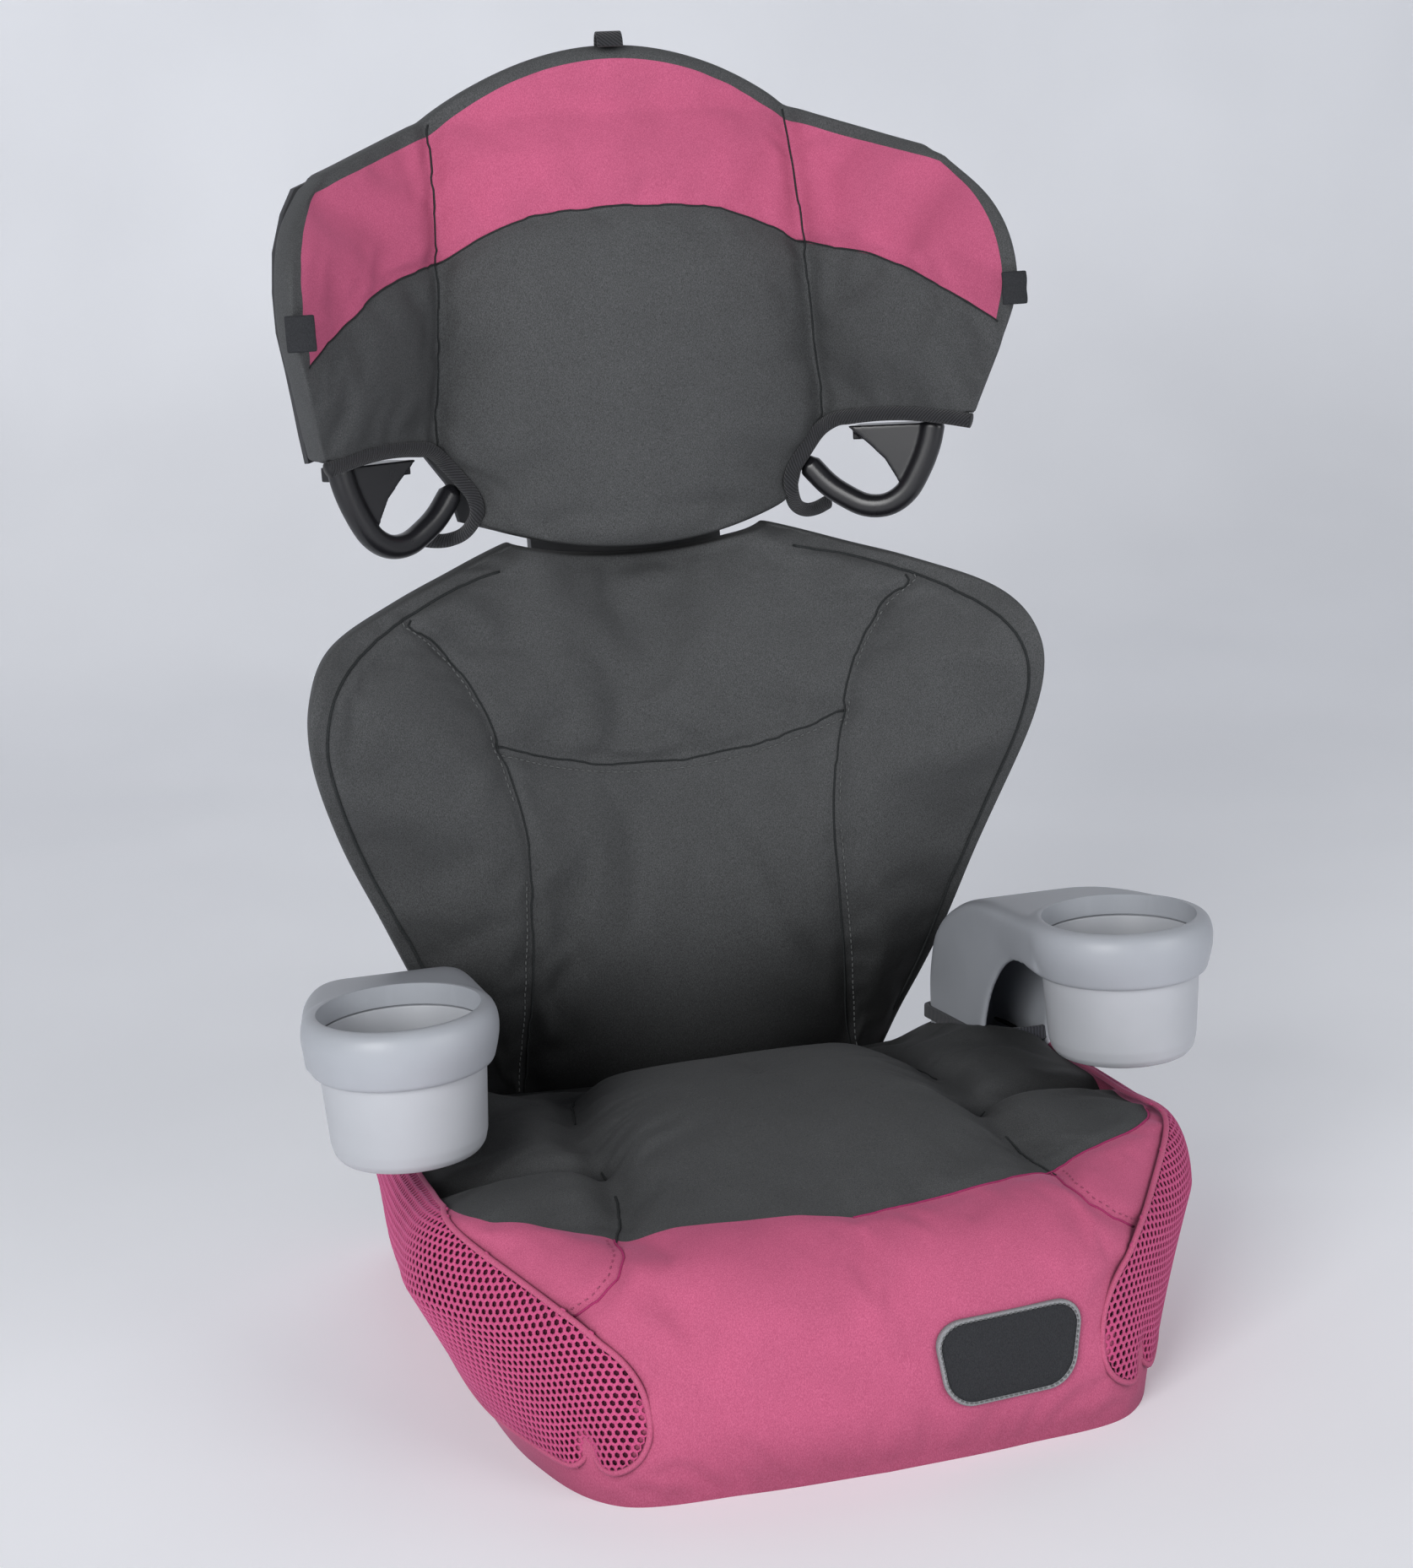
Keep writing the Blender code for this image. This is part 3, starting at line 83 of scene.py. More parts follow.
def curve_through(stations):
    """A smooth function through (t, value) stations, level beyond both ends."""
    def value(t):
        if t <= stations[0][0]:
            return stations[0][1]
        if t >= stations[-1][0]:
            return stations[-1][1]
        i = max(k for k in range(len(stations) - 1) if stations[k][0] <= t)
        before = stations[max(i - 1, 0)]
        (t0, v0), (t1, v1) = stations[i], stations[i + 1]
        after = stations[min(i + 2, len(stations) - 1)]
        step = t1 - t0
        slope0 = (v1 - before[1]) / (t1 - before[0]) * step
        slope1 = (after[1] - v0) / (after[0] - t0) * step
        f = (t - t0) / step
        return (v0 * (2 * f**3 - 3 * f**2 + 1) + slope0 * (f**3 - 2 * f**2 + f)
                + v1 * (3 * f**2 - 2 * f**3) + slope1 * (f**3 - f**2))
    return value


# ---- seat shape: rings that run from the crown out to the rim and down the sides ----
# Half outlines, from the middle of the front (0) round to the middle of the rear (1).
RIM_X = curve_through([(0, 0), (0.14, 0.065), (0.25, 0.112), (0.38, 0.176), (0.5, 0.187), (0.68, 0.191),
                       (0.80, 0.192), (0.87, 0.176), (0.92, 0.144), (1, 0)])
RIM_Y = curve_through([(0, -0.166), (0.14, -0.159), (0.25, -0.142), (0.38, -0.114), (0.5, -0.05),
                       (0.68, 0.06), (0.80, 0.150), (0.87, 0.172), (0.92, 0.165), (1, BASE_REAR)])
RIM_Z = curve_through([(0, 0.119), (0.14, 0.122), (0.25, 0.121), (0.38, 0.126), (0.5, 0.118), (0.68, 0.110),
                       (0.80, 0.101), (0.87, 0.096), (1, 0.088)])
BULGE_X = curve_through([(0, 0), (0.14, 0.075), (0.25, 0.135), (0.38, 0.198), (0.5, 0.206), (0.68, 0.202),
                         (0.80, 0.197), (0.87, 0.178), (0.92, 0.145), (1, 0)])
BULGE_Y = curve_through([(0, -0.203), (0.14, -0.200), (0.25, -0.183), (0.38, -0.112), (0.5, -0.05),
                         (0.68, 0.06), (0.80, 0.152), (0.87, 0.174), (0.92, 0.167), (1, BASE_REAR)])
FOOT_X = curve_through([(0, 0), (0.14, 0.068), (0.25, 0.128), (0.38, 0.158), (0.5, 0.172), (0.68, 0.182),
                        (0.80, 0.188), (0.87, 0.172), (0.92, 0.142), (1, 0)])
FOOT_Y = curve_through([(0, -0.205), (0.14, -0.202), (0.25, -0.192), (0.38, -0.135), (0.5, -0.05),
                        (0.68, 0.06), (0.80, 0.152), (0.87, 0.174), (0.92, 0.167), (1, BASE_REAR)])
BULGE_HEIGHT = 0.085
HEM_HEIGHT = 0.002
RIM_LEVEL = 0.5         # ring number of the rim, from the crown (0) to the foot (1)
BULGE_LEVEL = 0.68


SEAT_CROWN = curve_through([(-0.166, 0.119), (-0.100, 0.131), (-0.030, 0.134), (0.050, 0.128), (0.100, 0.116),
                            (0.160, 0.088)])


def seat_ring_point(turn, level):
    """A point of the cover's outside: turn 0..1 goes round from the front's middle, level from crown down."""
    half = turn * 2 if turn <= 0.5 else 2 - turn * 2
    side = 1 if turn <= 0.5 else -1
    rim = Vector((side * RIM_X(half), RIM_Y(half), RIM_Z(half)))
    if level <= RIM_LEVEL:
        out = level / RIM_LEVEL
        y = rim.y * out
        return Vector((rim.x * out, y, rim.z + (SEAT_CROWN(y) - rim.z) * (1 - out * out)))
    bulge = Vector((side * BULGE_X(half), BULGE_Y(half), BULGE_HEIGHT))
    foot = Vector((side * FOOT_X(half), FOOT_Y(half), HEM_HEIGHT))
    if level <= BULGE_LEVEL:
        f = (level - RIM_LEVEL) / (BULGE_LEVEL - RIM_LEVEL)
        out = math.sin(f * math.pi / 2)
        down = 1 - math.cos(f * math.pi / 2)
        return Vector((rim.x + (bulge.x - rim.x) * out, rim.y + (bulge.y - rim.y) * out,
                       rim.z + (bulge.z - rim.z) * down))
    f = (level - BULGE_LEVEL) / (1 - BULGE_LEVEL)
    return bulge.lerp(foot, f)


# ---- headrest shape ----
HEAD_SEAM_X = curve_through([(0.430, 0.095), (0.447, 0.097), (0.476, 0.117), (0.520, 0.114), (0.582, 0.110),
                             (0.662, 0.107)])
HEAD_SEAM_Y = curve_through([(0.430, 0.215), (0.476, 0.211), (0.560, 0.204), (0.620, 0.209), (0.662, 0.222)])
HEAD_MIDDLE_Z = curve_through([(0, 0.411), (0.66, 0.608), (1, 0.699)])
WING_SLOPE = curve_through([(0.470, 0.92), (0.500, 1.06), (0.540, 1.14), (0.580, 1.05), (0.620, 0.78),
                            (0.660, 0.50)])
WING_EDGE_X = curve_through([(0, 0.189), (0.35, 0.198), (0.55, 0.203), (0.8, 0.197), (1, 0.178)])
WING_EDGE_Z = curve_through([(0, 0.474), (0.35, 0.523), (0.55, 0.555), (0.8, 0.598), (1, 0.630)])
HEAD_CORNER_Z = 0.430
HEAD_SEAM_TOP = 0.662
NOTCH_V = (0.476 - HEAD_CORNER_Z) / (HEAD_SEAM_TOP - HEAD_CORNER_Z)
HEAD_CROWN = 0.012


def head_depth(x, z):
    """How far back the front of the headrest cover lies."""
    seam = HEAD_SEAM_X(z)
    if abs(x) <= seam:
        return HEAD_SEAM_Y(z) - HEAD_CROWN * (1 - (x / seam) ** 2)
    return HEAD_SEAM_Y(z) - WING_SLOPE(z) * (abs(x) - seam)


def head_point(u, v):
    """|u| up to 0.5 is the centre, beyond it the wing; v runs up from the bottom edge."""
    side = 1 if u >= 0 else -1
    seam_z = HEAD_CORNER_Z + (HEAD_SEAM_TOP - HEAD_CORNER_Z) * v
    seam_x = HEAD_SEAM_X(seam_z)
    if abs(u) <= 0.5:
        a = abs(u) / 0.5
        x = a * seam_x
        z = seam_z + (HEAD_MIDDLE_Z(v) - seam_z) * (1 - a * a)
    else:
        a = (abs(u) - 0.5) / 0.5
        w = max(0.0, (v - NOTCH_V) / (1 - NOTCH_V))
        x = seam_x + (WING_EDGE_X(w) - seam_x) * a
        z = seam_z + (WING_EDGE_Z(w) - seam_z) * a + 0.005 * math.sin(math.pi * a) * (1 - w) ** 2
    return Vector((side * x, head_depth(x, z), z))


# ---- backrest shape ----
BACK_EDGE_X = curve_through([(0, 0.116), (0.10, 0.130), (0.25, 0.157), (0.40, 0.180), (0.52, 0.200),
                             (0.62, 0.213), (0.70, 0.212), (0.78, 0.197), (0.87, 0.155), (0.94, 0.115),
                             (1, 0.080)])
BACK_EDGE_Z = curve_through([(0, 0.060), (0.10, 0.095), (0.25, 0.155), (0.40, 0.212), (0.52, 0.262),
                             (0.62, 0.312), (0.70, 0.346), (0.78, 0.372), (0.87, 0.391), (0.94, 0.404),
                             (1, 0.415)])
BACK_MIDDLE_Z = curve_through([(0, 0.052), (0.5, 0.240), (1, 0.402)])
BACK_MIDDLE_Y = curve_through([(0.05, 0.172), (0.10, 0.166), (0.17, 0.163), (0.25, 0.170), (0.30, 0.180),
                               (0.35, 0.192), (0.40, 0.221), (0.432, 0.233)])
BACK_SEAM_Y = curve_through([(0.05, 0.180), (0.10, 0.169), (0.155, 0.150), (0.20, 0.144), (0.25, 0.144),
                             (0.30, 0.152), (0.34, 0.158), (0.375, 0.165), (0.40, 0.195), (0.428, 0.222)])
BACK_EDGE_Y = curve_through([(0.05, 0.187), (0.10, 0.174), (0.155, 0.156), (0.21, 0.145), (0.25, 0.135),
                             (0.30, 0.114), (0.34, 0.104), (0.365, 0.116), (0.392, 0.160), (0.410, 0.200),
                             (0.428, 0.226)])
BACK_SEAM_X = curve_through([(0.05, 0.107), (0.10, 0.102), (0.155, 0.097), (0.20, 0.094), (0.25, 0.093),
                             (0.30, 0.102), (0.34, 0.116), (0.37, 0.137), (0.385, 0.155)])


def back_point(u, v):
    """u runs across from edge to edge, v up from the bottom edge."""
    side = 1 if u >= 0 else -1
    a = abs(u)
    edge_x = BACK_EDGE_X(v)
    edge_z = BACK_EDGE_Z(v)
    x = a * edge_x
    z = edge_z + (BACK_MIDDLE_Z(v) - edge_z) * (1 - a * a)
    seam_x = min(BACK_SEAM_X(z), edge_x * 0.75)
    if x <= seam_x:
        y = BACK_MIDDLE_Y(z) + (BACK_SEAM_Y(z) - BACK_MIDDLE_Y(z)) * (x / seam_x) ** 2
    else:
        f = (x - seam_x) / (edge_x - seam_x)
        y = BACK_SEAM_Y(z) + (BACK_EDGE_Y(edge_z) - BACK_SEAM_Y(z)) * f - 0.006 * math.sin(math.pi * f)
    return Vector((side * x, y, z))


# ---- materials ----
def node(tree, kind, inputs=None, **settings):
    """A shader node; an input is a value, or the output socket that feeds it."""
    made = tree.nodes.new(kind)
    for key, value in settings.items():
        setattr(made, key, value)
    for key, value in (inputs or {}).items():
        if isinstance(value, bpy.types.NodeSocket):
            tree.links.new(value, made.inputs[key])
        else:
            made.inputs[key].default_value = value
    return made


def new_material(name, roughness, sheen=0.0, metallic=0.0):
    made = bpy.data.materials.new(name)
    made.use_nodes = True
    tree = made.node_tree
    shader = tree.nodes["Principled BSDF"]
    shader.inputs["Roughness"].default_value = roughness
    shader.inputs["Metallic"].default_value = metallic
    shader.inputs["Sheen Weight"].default_value = sheen
    shader.inputs["Sheen Roughness"].default_value = 0.45
    return made, tree, shader


def grain(tree, coords, scale, detail=2.0):
    """Noise of this scale, in cells per metre."""
    sockets = {"Vector": coords, "Scale": scale, "Detail": detail}
    return node(tree, "ShaderNodeTexNoise", sockets).outputs["Fac"]


def between(tree, factor, low, high, colour_low, colour_high):
    """A colour that runs from one to the other as the factor goes from low to high."""
    ramp = node(tree, "ShaderNodeValToRGB", {"Fac": factor})
    ramp.color_ramp.elements[0].position = low
    ramp.color_ramp.elements[0].color = (*colour_low, 1)
    ramp.color_ramp.elements[1].position = high
    ramp.color_ramp.elements[1].color = (*colour_high, 1)
    return ramp.outputs["Color"]


def mixed(tree, factor, first, second, blend="MIX"):
    mix = node(tree, "ShaderNodeMix", data_type="RGBA", blend_type=blend)
    for value, key in ((factor, 0), (first, 6), (second, 7)):
        if isinstance(value, bpy.types.NodeSocket):
            tree.links.new(value, mix.inputs[key])
        else:
            mix.inputs[key].default_value = value
    return mix.outputs[2]


def bumped(tree, shader, heights):
    """Bumps laid over each other: (height socket, strength, depth in metres)."""
    normal = None
    for height, strength, depth in heights:
        bump = node(tree, "ShaderNodeBump", {"Height": height, "Strength": strength, "Distance": depth})
        if normal:
            tree.links.new(normal, bump.inputs["Normal"])
        normal = bump.outputs["Normal"]
    tree.links.new(normal, shader.inputs["Normal"])


def rough_by(tree, shader, factor, low, high):
    spread = node(tree, "ShaderNodeMapRange", {"Value": factor, "To Min": low, "To Max": high})
    tree.links.new(spread.outputs["Result"], shader.inputs["Roughness"])


def jersey(name, dark, light, sheen, shade_reach=0.045, deepest_painted_shade=0.35):
    """Knitted jersey: fine light specks, soft mottle, painted shade in recesses, a sheen on turned-away
    parts.
    """
    made, tree, shader = new_material(name, 0.85, sheen)
    coords = node(tree, "ShaderNodeTexCoord").outputs["Object"]
    stretched = node(tree, "ShaderNodeMapping", {"Vector": coords, "Scale": (1, 1, 0.45)}).outputs["Vector"]
    specks = grain(tree, stretched, scale=2600, detail=1.0)
    mottle = grain(tree, coords, scale=38, detail=4.0)
    knit = between(tree, specks, 0.34, 0.70, dark, light)
    shade = between(tree, mottle, 0.3, 0.7, (0.90,) * 3, (1.0,) * 3)
    # painted shade: ambient occlusion within shade_reach darkens the colour in recesses and along seams, at
    # most to the darkest given share
    open_sky = node(tree, "ShaderNodeAmbientOcclusion", {"Distance": shade_reach}, samples=6).outputs["AO"]
    painted_shade = between(tree, open_sky, 0.15, 0.90, (deepest_painted_shade,) * 3, (1.0,) * 3)
    cloth = mixed(tree, 1.0, knit, shade, "MULTIPLY")
    tree.links.new(mixed(tree, 1.0, cloth, painted_shade, "MULTIPLY"), shader.inputs["Base Color"])
    shader.inputs["Sheen Tint"].default_value = (*[min(1, c * 2.2 + 0.1) for c in light], 1)
    shader.inputs["Specular IOR Level"].default_value = 0.25
    rough_by(tree, shader, mottle, low=0.72, high=0.92)
    bumped(tree, shader, ((specks, 0.35, 0.0003), (grain(tree, coords, scale=260), 0.12, 0.0006)))
    return made


def ribbed_tape(name, dark, light, pitch=0.0016, slant=1.0):
    """Twill tape: diagonal ribs that follow the tape's own run."""
    made, tree, shader = new_material(name, roughness=0.8, sheen=0.15)
    run = node(tree, "ShaderNodeTexCoord").outputs["UV"]
    turned_run = node(tree, "ShaderNodeMapping",
                      {"Vector": run, "Rotation": (0, 0, slant * math.radians(38))})
    ribs = node(tree, "ShaderNodeTexWave", {"Vector": turned_run.outputs["Vector"], "Scale": 0.314 / pitch,
                                            "Distortion": 0.6, "Detail": 1.0, "Detail Scale": 40.0})
    threads = grain(tree, run, scale=2600)
    tree.links.new(between(tree, ribs.outputs["Fac"], 0.2, 0.9, dark, light), shader.inputs["Base Color"])
    rough_by(tree, shader, threads, low=0.6, high=0.9)
    bumped(tree, shader, ((ribs.outputs["Fac"], 0.9, 0.0006), (threads, 0.3, 0.0002)))
    return made


def moulded(name, colour, roughness, grain_depth=0.00004, edge_lightening=0.10):
    """Moulded plastic: satin spark-erosion grain, faint handling marks, sharp edges a little lighter."""
    made, tree, shader = new_material(name, roughness)
    coords = node(tree, "ShaderNodeTexCoord").outputs["Object"]
    smudges = grain(tree, coords, scale=24, detail=5.0)
    fine = grain(tree, coords, scale=2400, detail=1.0)
    body = between(tree, smudges, 0.3, 0.75, [c * 0.95 for c in colour], [c * 1.03 for c in colour])
    edges = node(tree, "ShaderNodeNewGeometry").outputs["Pointiness"]
    # sharp convex edges, found by pointiness, are mixed towards a lighter colour
    edge_mask = node(tree, "ShaderNodeMapRange", {"Value": edges, "From Min": 0.52, "From Max": 0.60,
                                               "To Max": edge_lightening})
    lighter = tuple(min(1.0, c * 1.25 + 0.02) for c in colour) + (1,)
    tree.links.new(mixed(tree, edge_mask.outputs["Result"], body, lighter), shader.inputs["Base Color"])
    rough_by(tree, shader, smudges, roughness - 0.06, roughness + 0.10)
    bumped(tree, shader, ((fine, 0.5, grain_depth),))
    return made


def foam_material(name):
    made, tree, shader = new_material(name, roughness=0.95)
    coords = node(tree, "ShaderNodeTexCoord").outputs["Object"]
    cells = node(tree, "ShaderNodeTexVoronoi", {"Vector": coords, "Scale": 700.0}).outputs["Distance"]
    tree.links.new(between(tree, cells, 0.1, 0.7, (0.45, 0.45, 0.42), (0.78, 0.78, 0.74)),
                   shader.inputs["Base Color"])
    bumped(tree, shader, ((cells, 0.8, 0.0008),))
    return made


def plated_steel(name):
    made, tree, shader = new_material(name, roughness=0.32, metallic=1.0)
    coords = node(tree, "ShaderNodeTexCoord").outputs["Object"]
    drawn = node(tree, "ShaderNodeMapping", {"Vector": coords, "Scale": (1, 8, 8)}).outputs["Vector"]
    scratches = grain(tree, drawn, scale=600, detail=3.0)
    tree.links.new(between(tree, scratches, 0.3, 0.7, (0.42, 0.43, 0.45), (0.66, 0.67, 0.69)),
                   shader.inputs["Base Color"])
    rough_by(tree, shader, scratches, low=0.22, high=0.45)
    bumped(tree, shader, ((scratches, 0.3, 0.0001),))
    return made


# every jersey here carries painted shade from ambient occlusion; the charcoal's reaches 0.14 m and darkens
# its colour down to 0.08 of itself
charcoal = jersey("charcoal_jersey", (0.050, 0.052, 0.053), (0.104, 0.107, 0.110), sheen=0.10,
                  shade_reach=0.14, deepest_painted_shade=0.08)
pink = jersey("pink_jersey", (0.46, 0.083, 0.172), (0.60, 0.132, 0.248), sheen=0.28)
lattice_pink = jersey("spacer_lattice", (0.50, 0.060, 0.180), (0.66, 0.115, 0.260), sheen=0.30)
# the spacer backing's very dark colour is partly its own and partly painted shade seen through the lattice's
# holes
backing_pink_painted_shade = jersey("spacer_backing_painted_shade", (0.11, 0.006, 0.034), (0.18, 0.014, 0.060), sheen=0.05)
deep_pink = jersey("side_knit", (0.34, 0.022, 0.115), (0.46, 0.045, 0.165), sheen=0.20)
black_tape = ribbed_tape("twill_black", (0.006, 0.006, 0.008), (0.030, 0.031, 0.036))
cuff_tape = ribbed_tape("elastic_navy", (0.008, 0.009, 0.014), (0.034, 0.036, 0.048), pitch=0.0020, slant=0.0)
thread_grey = ribbed_tape("thread_grey", (0.13, 0.14, 0.14), (0.24, 0.25, 0.25), pitch=0.0006)
thread_pink = ribbed_tape("thread_pink", (0.42, 0.05, 0.15), (0.60, 0.10, 0.24), pitch=0.0006)
cord_charcoal = jersey("cord_charcoal", (0.016, 0.018, 0.019), (0.036, 0.040, 0.041), sheen=0.15)
patch_dark = jersey("patch_dark", (0.020, 0.021, 0.024), (0.034, 0.036, 0.040), sheen=0.10)
patch_border = jersey("patch_border", (0.22, 0.225, 0.235), (0.36, 0.365, 0.38), sheen=0.20)
grey_plastic = moulded("grey_plastic", (0.385, 0.405, 0.440), roughness=0.40)
pale_plastic = moulded("pale_plastic", (0.450, 0.465, 0.495), roughness=0.42)
dark_plastic = moulded("dark_plastic", (0.040, 0.041, 0.045), roughness=0.52, grain_depth=0.0001)
black_plastic = moulded("black_plastic", (0.010, 0.010, 0.012), roughness=0.27, grain_depth=0.00003,
                        edge_lightening=0.06)
red_plastic = moulded("red_plastic", (0.42, 0.030, 0.025), roughness=0.38)
white_foam = foam_material("white_foam")
steel = plated_steel("plated_steel")


# ---- mesh helpers ----
def build(name, verts, faces, finishes, indices=None, uvs=None):
    """An object from points and faces; uvs holds one (u, v) for each face corner."""
    mesh = bpy.data.meshes.new(name)
    mesh.from_pydata([tuple(v) for v in verts], [], faces)
    for finish in finishes:
        mesh.materials.append(finish)
    if indices is not None:
        mesh.polygons.foreach_set("material_index", indices)
    if uvs is not None:
        layer = mesh.uv_layers.new(name="run")
        layer.data.foreach_set("uv", [value for pair in uvs for value in pair])
    mesh.shade_smooth()
    mesh.update()
    obj = bpy.data.objects.new(name, mesh)
    bpy.context.scene.collection.objects.link(obj)
    return obj


def faces_outwards(obj, weld=False):
    """Turns all faces out, after joining the points that lie together when asked to."""
    bm = bmesh.new()
    bm.from_mesh(obj.data)
    if weld:
        bmesh.ops.remove_doubles(bm, verts=bm.verts, dist=1e-6)
        bmesh.ops.dissolve_degenerate(bm, edges=bm.edges, dist=1e-7)
    bmesh.ops.recalc_face_normals(bm, faces=bm.faces)
    bm.to_mesh(obj.data)
    bm.free()
    return obj


def coordinates(mesh):
    spots = np.empty(len(mesh.vertices) * 3)
    mesh.vertices.foreach_get("co", spots)
    return spots.reshape(-1, 3)


def normals_of(mesh):
    found = np.empty(len(mesh.vertices) * 3)
    mesh.vertices.foreach_get("normal", found)
    return found.reshape(-1, 3)


def set_coordinates(mesh, spots):
    mesh.vertices.foreach_set("co", np.asarray(spots, np.float32).ravel())
    mesh.update()


def along(path, step):
    """Points spaced evenly along a path of points."""
    points = np.array([tuple(p) for p in path], float)
    lengths = np.concatenate([[0], np.cumsum(np.linalg.norm(np.diff(points, axis=0), axis=1))])
    count = max(2, round(lengths[-1] / step) + 1)
    at = np.linspace(0, lengths[-1], count)
    return np.stack([np.interp(at, lengths, points[:, axis]) for axis in range(3)], axis=1)


def smooth_path(points, step=0.003):
    """Evenly spaced points on a smooth curve through the given ones."""
    curves = [curve_through([(i, point[axis]) for i, point in enumerate(points)]) for axis in range(3)]
    fine = [[curve(i / 12) for curve in curves] for i in range((len(points) - 1) * 12 + 1)]
    return along(fine, step)


def distance_to(paths, spots):
    """How far each spot is from the nearest of the paths."""
    dense = np.concatenate([along(path, step=0.001) for path in paths])
    tree = kdtree.KDTree(len(dense))
    for i, point in enumerate(dense):
        tree.insert(point, i)
    tree.balance()
    return np.array([tree.find(spot)[2] for spot in spots])


def grid_cover(name, points, finishes, finish_at=None, keep=None, wrap=False):
    """A sheet over points[row][column], faces looking forwards; wrap joins the last column to the first."""
    rows, columns = len(points), len(points[0])
    verts = [p for line in points for p in line]
    faces, indices = [], []
    for row in range(rows - 1):
        for column in range(columns if wrap else columns - 1):
            if keep and not keep(row, column):
                continue
            right = (column + 1) % columns
            faces.append((row * columns + column, row * columns + right, (row + 1) * columns + right,
                          (row + 1) * columns + column))
            indices.append(finish_at(row, column) if finish_at else 0)
    used = sorted({i for face in faces for i in face})
    number = {old: new for new, old in enumerate(used)}
    faces = [tuple(number[i] for i in face) for face in faces]
    return build(name, [verts[i] for i in used], faces, finishes, indices)


def boundary_of(mesh):
    """The numbers of the points on the sheet's open edge."""
    bm = bmesh.new()
    bm.from_mesh(mesh)
    found = {vert.index for edge in bm.edges if edge.is_boundary for vert in edge.verts}
    bm.free()
    return found


def groove(obj, paths, depth, width):
    """Pulls the sheet in along seam paths, and returns each point's distance from them."""
    spots = coordinates(obj.data)
    far = distance_to(paths, spots)
    pull = depth * np.exp(-(far / width) ** 2)
    set_coordinates(obj.data, spots - normals_of(obj.data) * pull[:, None])
    return far


def ruffle(obj, paths, height, pitch, reach, seed):
    """Fine puckers that run away from a seam and fade out."""
    spots = coordinates(obj.data)
    far = distance_to(paths, spots)
    lift = [noise.noise(Vector(spot) / pitch + Vector((seed, 0, 0))) for spot in spots]
    fade = np.exp(-far / reach)
    set_coordinates(obj.data, spots + normals_of(obj.data) * (np.array(lift) * fade * height)[:, None])


def puff(obj, pinned, pressure, reach, shrink=-0.015):
    """Inflates the sheet between its pinned points by a short cloth simulation, nowhere beyond reach."""
    group = obj.vertex_groups.new(name="pinned")
    group.add([int(i) for i in pinned], 1.0, "REPLACE")
    rest = coordinates(obj.data)
    cloth = obj.modifiers.new("cloth", "CLOTH")
    settings = cloth.settings
    settings.quality = 6
    settings.mass = 0.25
    settings.tension_stiffness = 30
    settings.compression_stiffness = 30
    settings.shear_stiffness = 12
    settings.bending_stiffness = 1.5
    settings.vertex_group_mass = "pinned"
    settings.use_pressure = True
    settings.uniform_pressure_force = pressure
    settings.shrink_min = shrink
    settings.effector_weights.gravity = 0
    cloth.collision_settings.use_collision = False
    cloth.collision_settings.use_self_collision = False
    cloth.point_cache.frame_start = 1
    cloth.point_cache.frame_end = CLOTH_FRAMES
    for step in range(1, CLOTH_FRAMES + 1):
        bpy.context.scene.frame_set(step)
    moved = coordinates(obj.evaluated_get(bpy.context.evaluated_depsgraph_get()).data) - rest
    obj.modifiers.remove(cloth)
    obj.vertex_groups.remove(group)
    length = np.linalg.norm(moved, axis=1)[:, None] + 1e-12
    set_coordinates(obj.data, rest + moved / length * (np.tanh(length / reach) * reach))
    bpy.context.scene.frame_set(1)


CLOTH_FRAMES = 20
HEM = ((0.0012, 0.0006), (0.0020, 0.003), (0.0022, 0.008), (0.0020, 0.015), (0.0012, 0.0215),
       (-0.001, 0.0258), (-0.005, 0.0278), (-0.013, 0.0282))


def add_hem(obj, stations, splay=0.0, half_width=1.0):
    """Rolls the sheet's open edge over and back: each station is (outwards, backwards) from the edge.

    Backwards turns outwards by splay towards the sides, as the layers behind the headrest's cover do.
    """
    bm = bmesh.new()
    bm.from_mesh(obj.data)
    bm.normal_update()
    bm.verts.ensure_lookup_table()
    edges = [edge for edge in bm.edges if edge.is_boundary]
    following = {}
    for edge in edges:
        loop = edge.link_loops[0]
        following[loop.link_loop_next.vert] = loop.vert
    while following:
        first, second = next(iter(following.items()))
        ring = [first]
        del following[first]
        while second is not first:
            ring.append(second)
            second = following.pop(second)
        count = len(ring)
        outs = []
        for i, vert in enumerate(ring):
            tangent = (ring[(i + 1) % count].co - ring[i - 1].co).normalized()
            outs.append(vert.normal.cross(tangent).normalized())
        for _ in range(4):
            outs = [(outs[i - 1] + outs[i] * 2 + outs[(i + 1) % count]).normalized() for i in range(count)]
        middle = sum((vert.co for vert in ring), Vector()) / count
        if sum((vert.co - middle).dot(out) for vert, out in zip(ring, outs)) < 0:
            outs = [-out for out in outs]
        starts = [vert.co.copy() for vert in ring]
        backs = []
        for start in starts:
            turn = math.copysign(splay * min(1.0, abs(start.x) / half_width), start.x)
            backs.append(Vector((math.sin(turn), math.cos(turn), 0)))
        before = ring
        for out_step, back_step in stations:
            row = [bm.verts.new(start + out * out_step + back * back_step)
                   for start, out, back in zip(starts, outs, backs)]
            for i in range(count):
                j = (i + 1) % count
                face = bm.faces.new((before[j], before[i], row[i], row[j]))
                face.smooth = True
            before = row
    bmesh.ops.recalc_face_normals(bm, faces=bm.faces)
    bm.to_mesh(obj.data)
    bm.free()
    obj.data.update()


def face_forwards(mesh, towards=(0, -1, 0)):
    """Turns the whole sheet over when most of it looks away."""
    total = sum((polygon.normal * polygon.area for polygon in mesh.polygons), Vector())
    if total.dot(Vector(towards)) < 0:
        mesh.flip_normals()


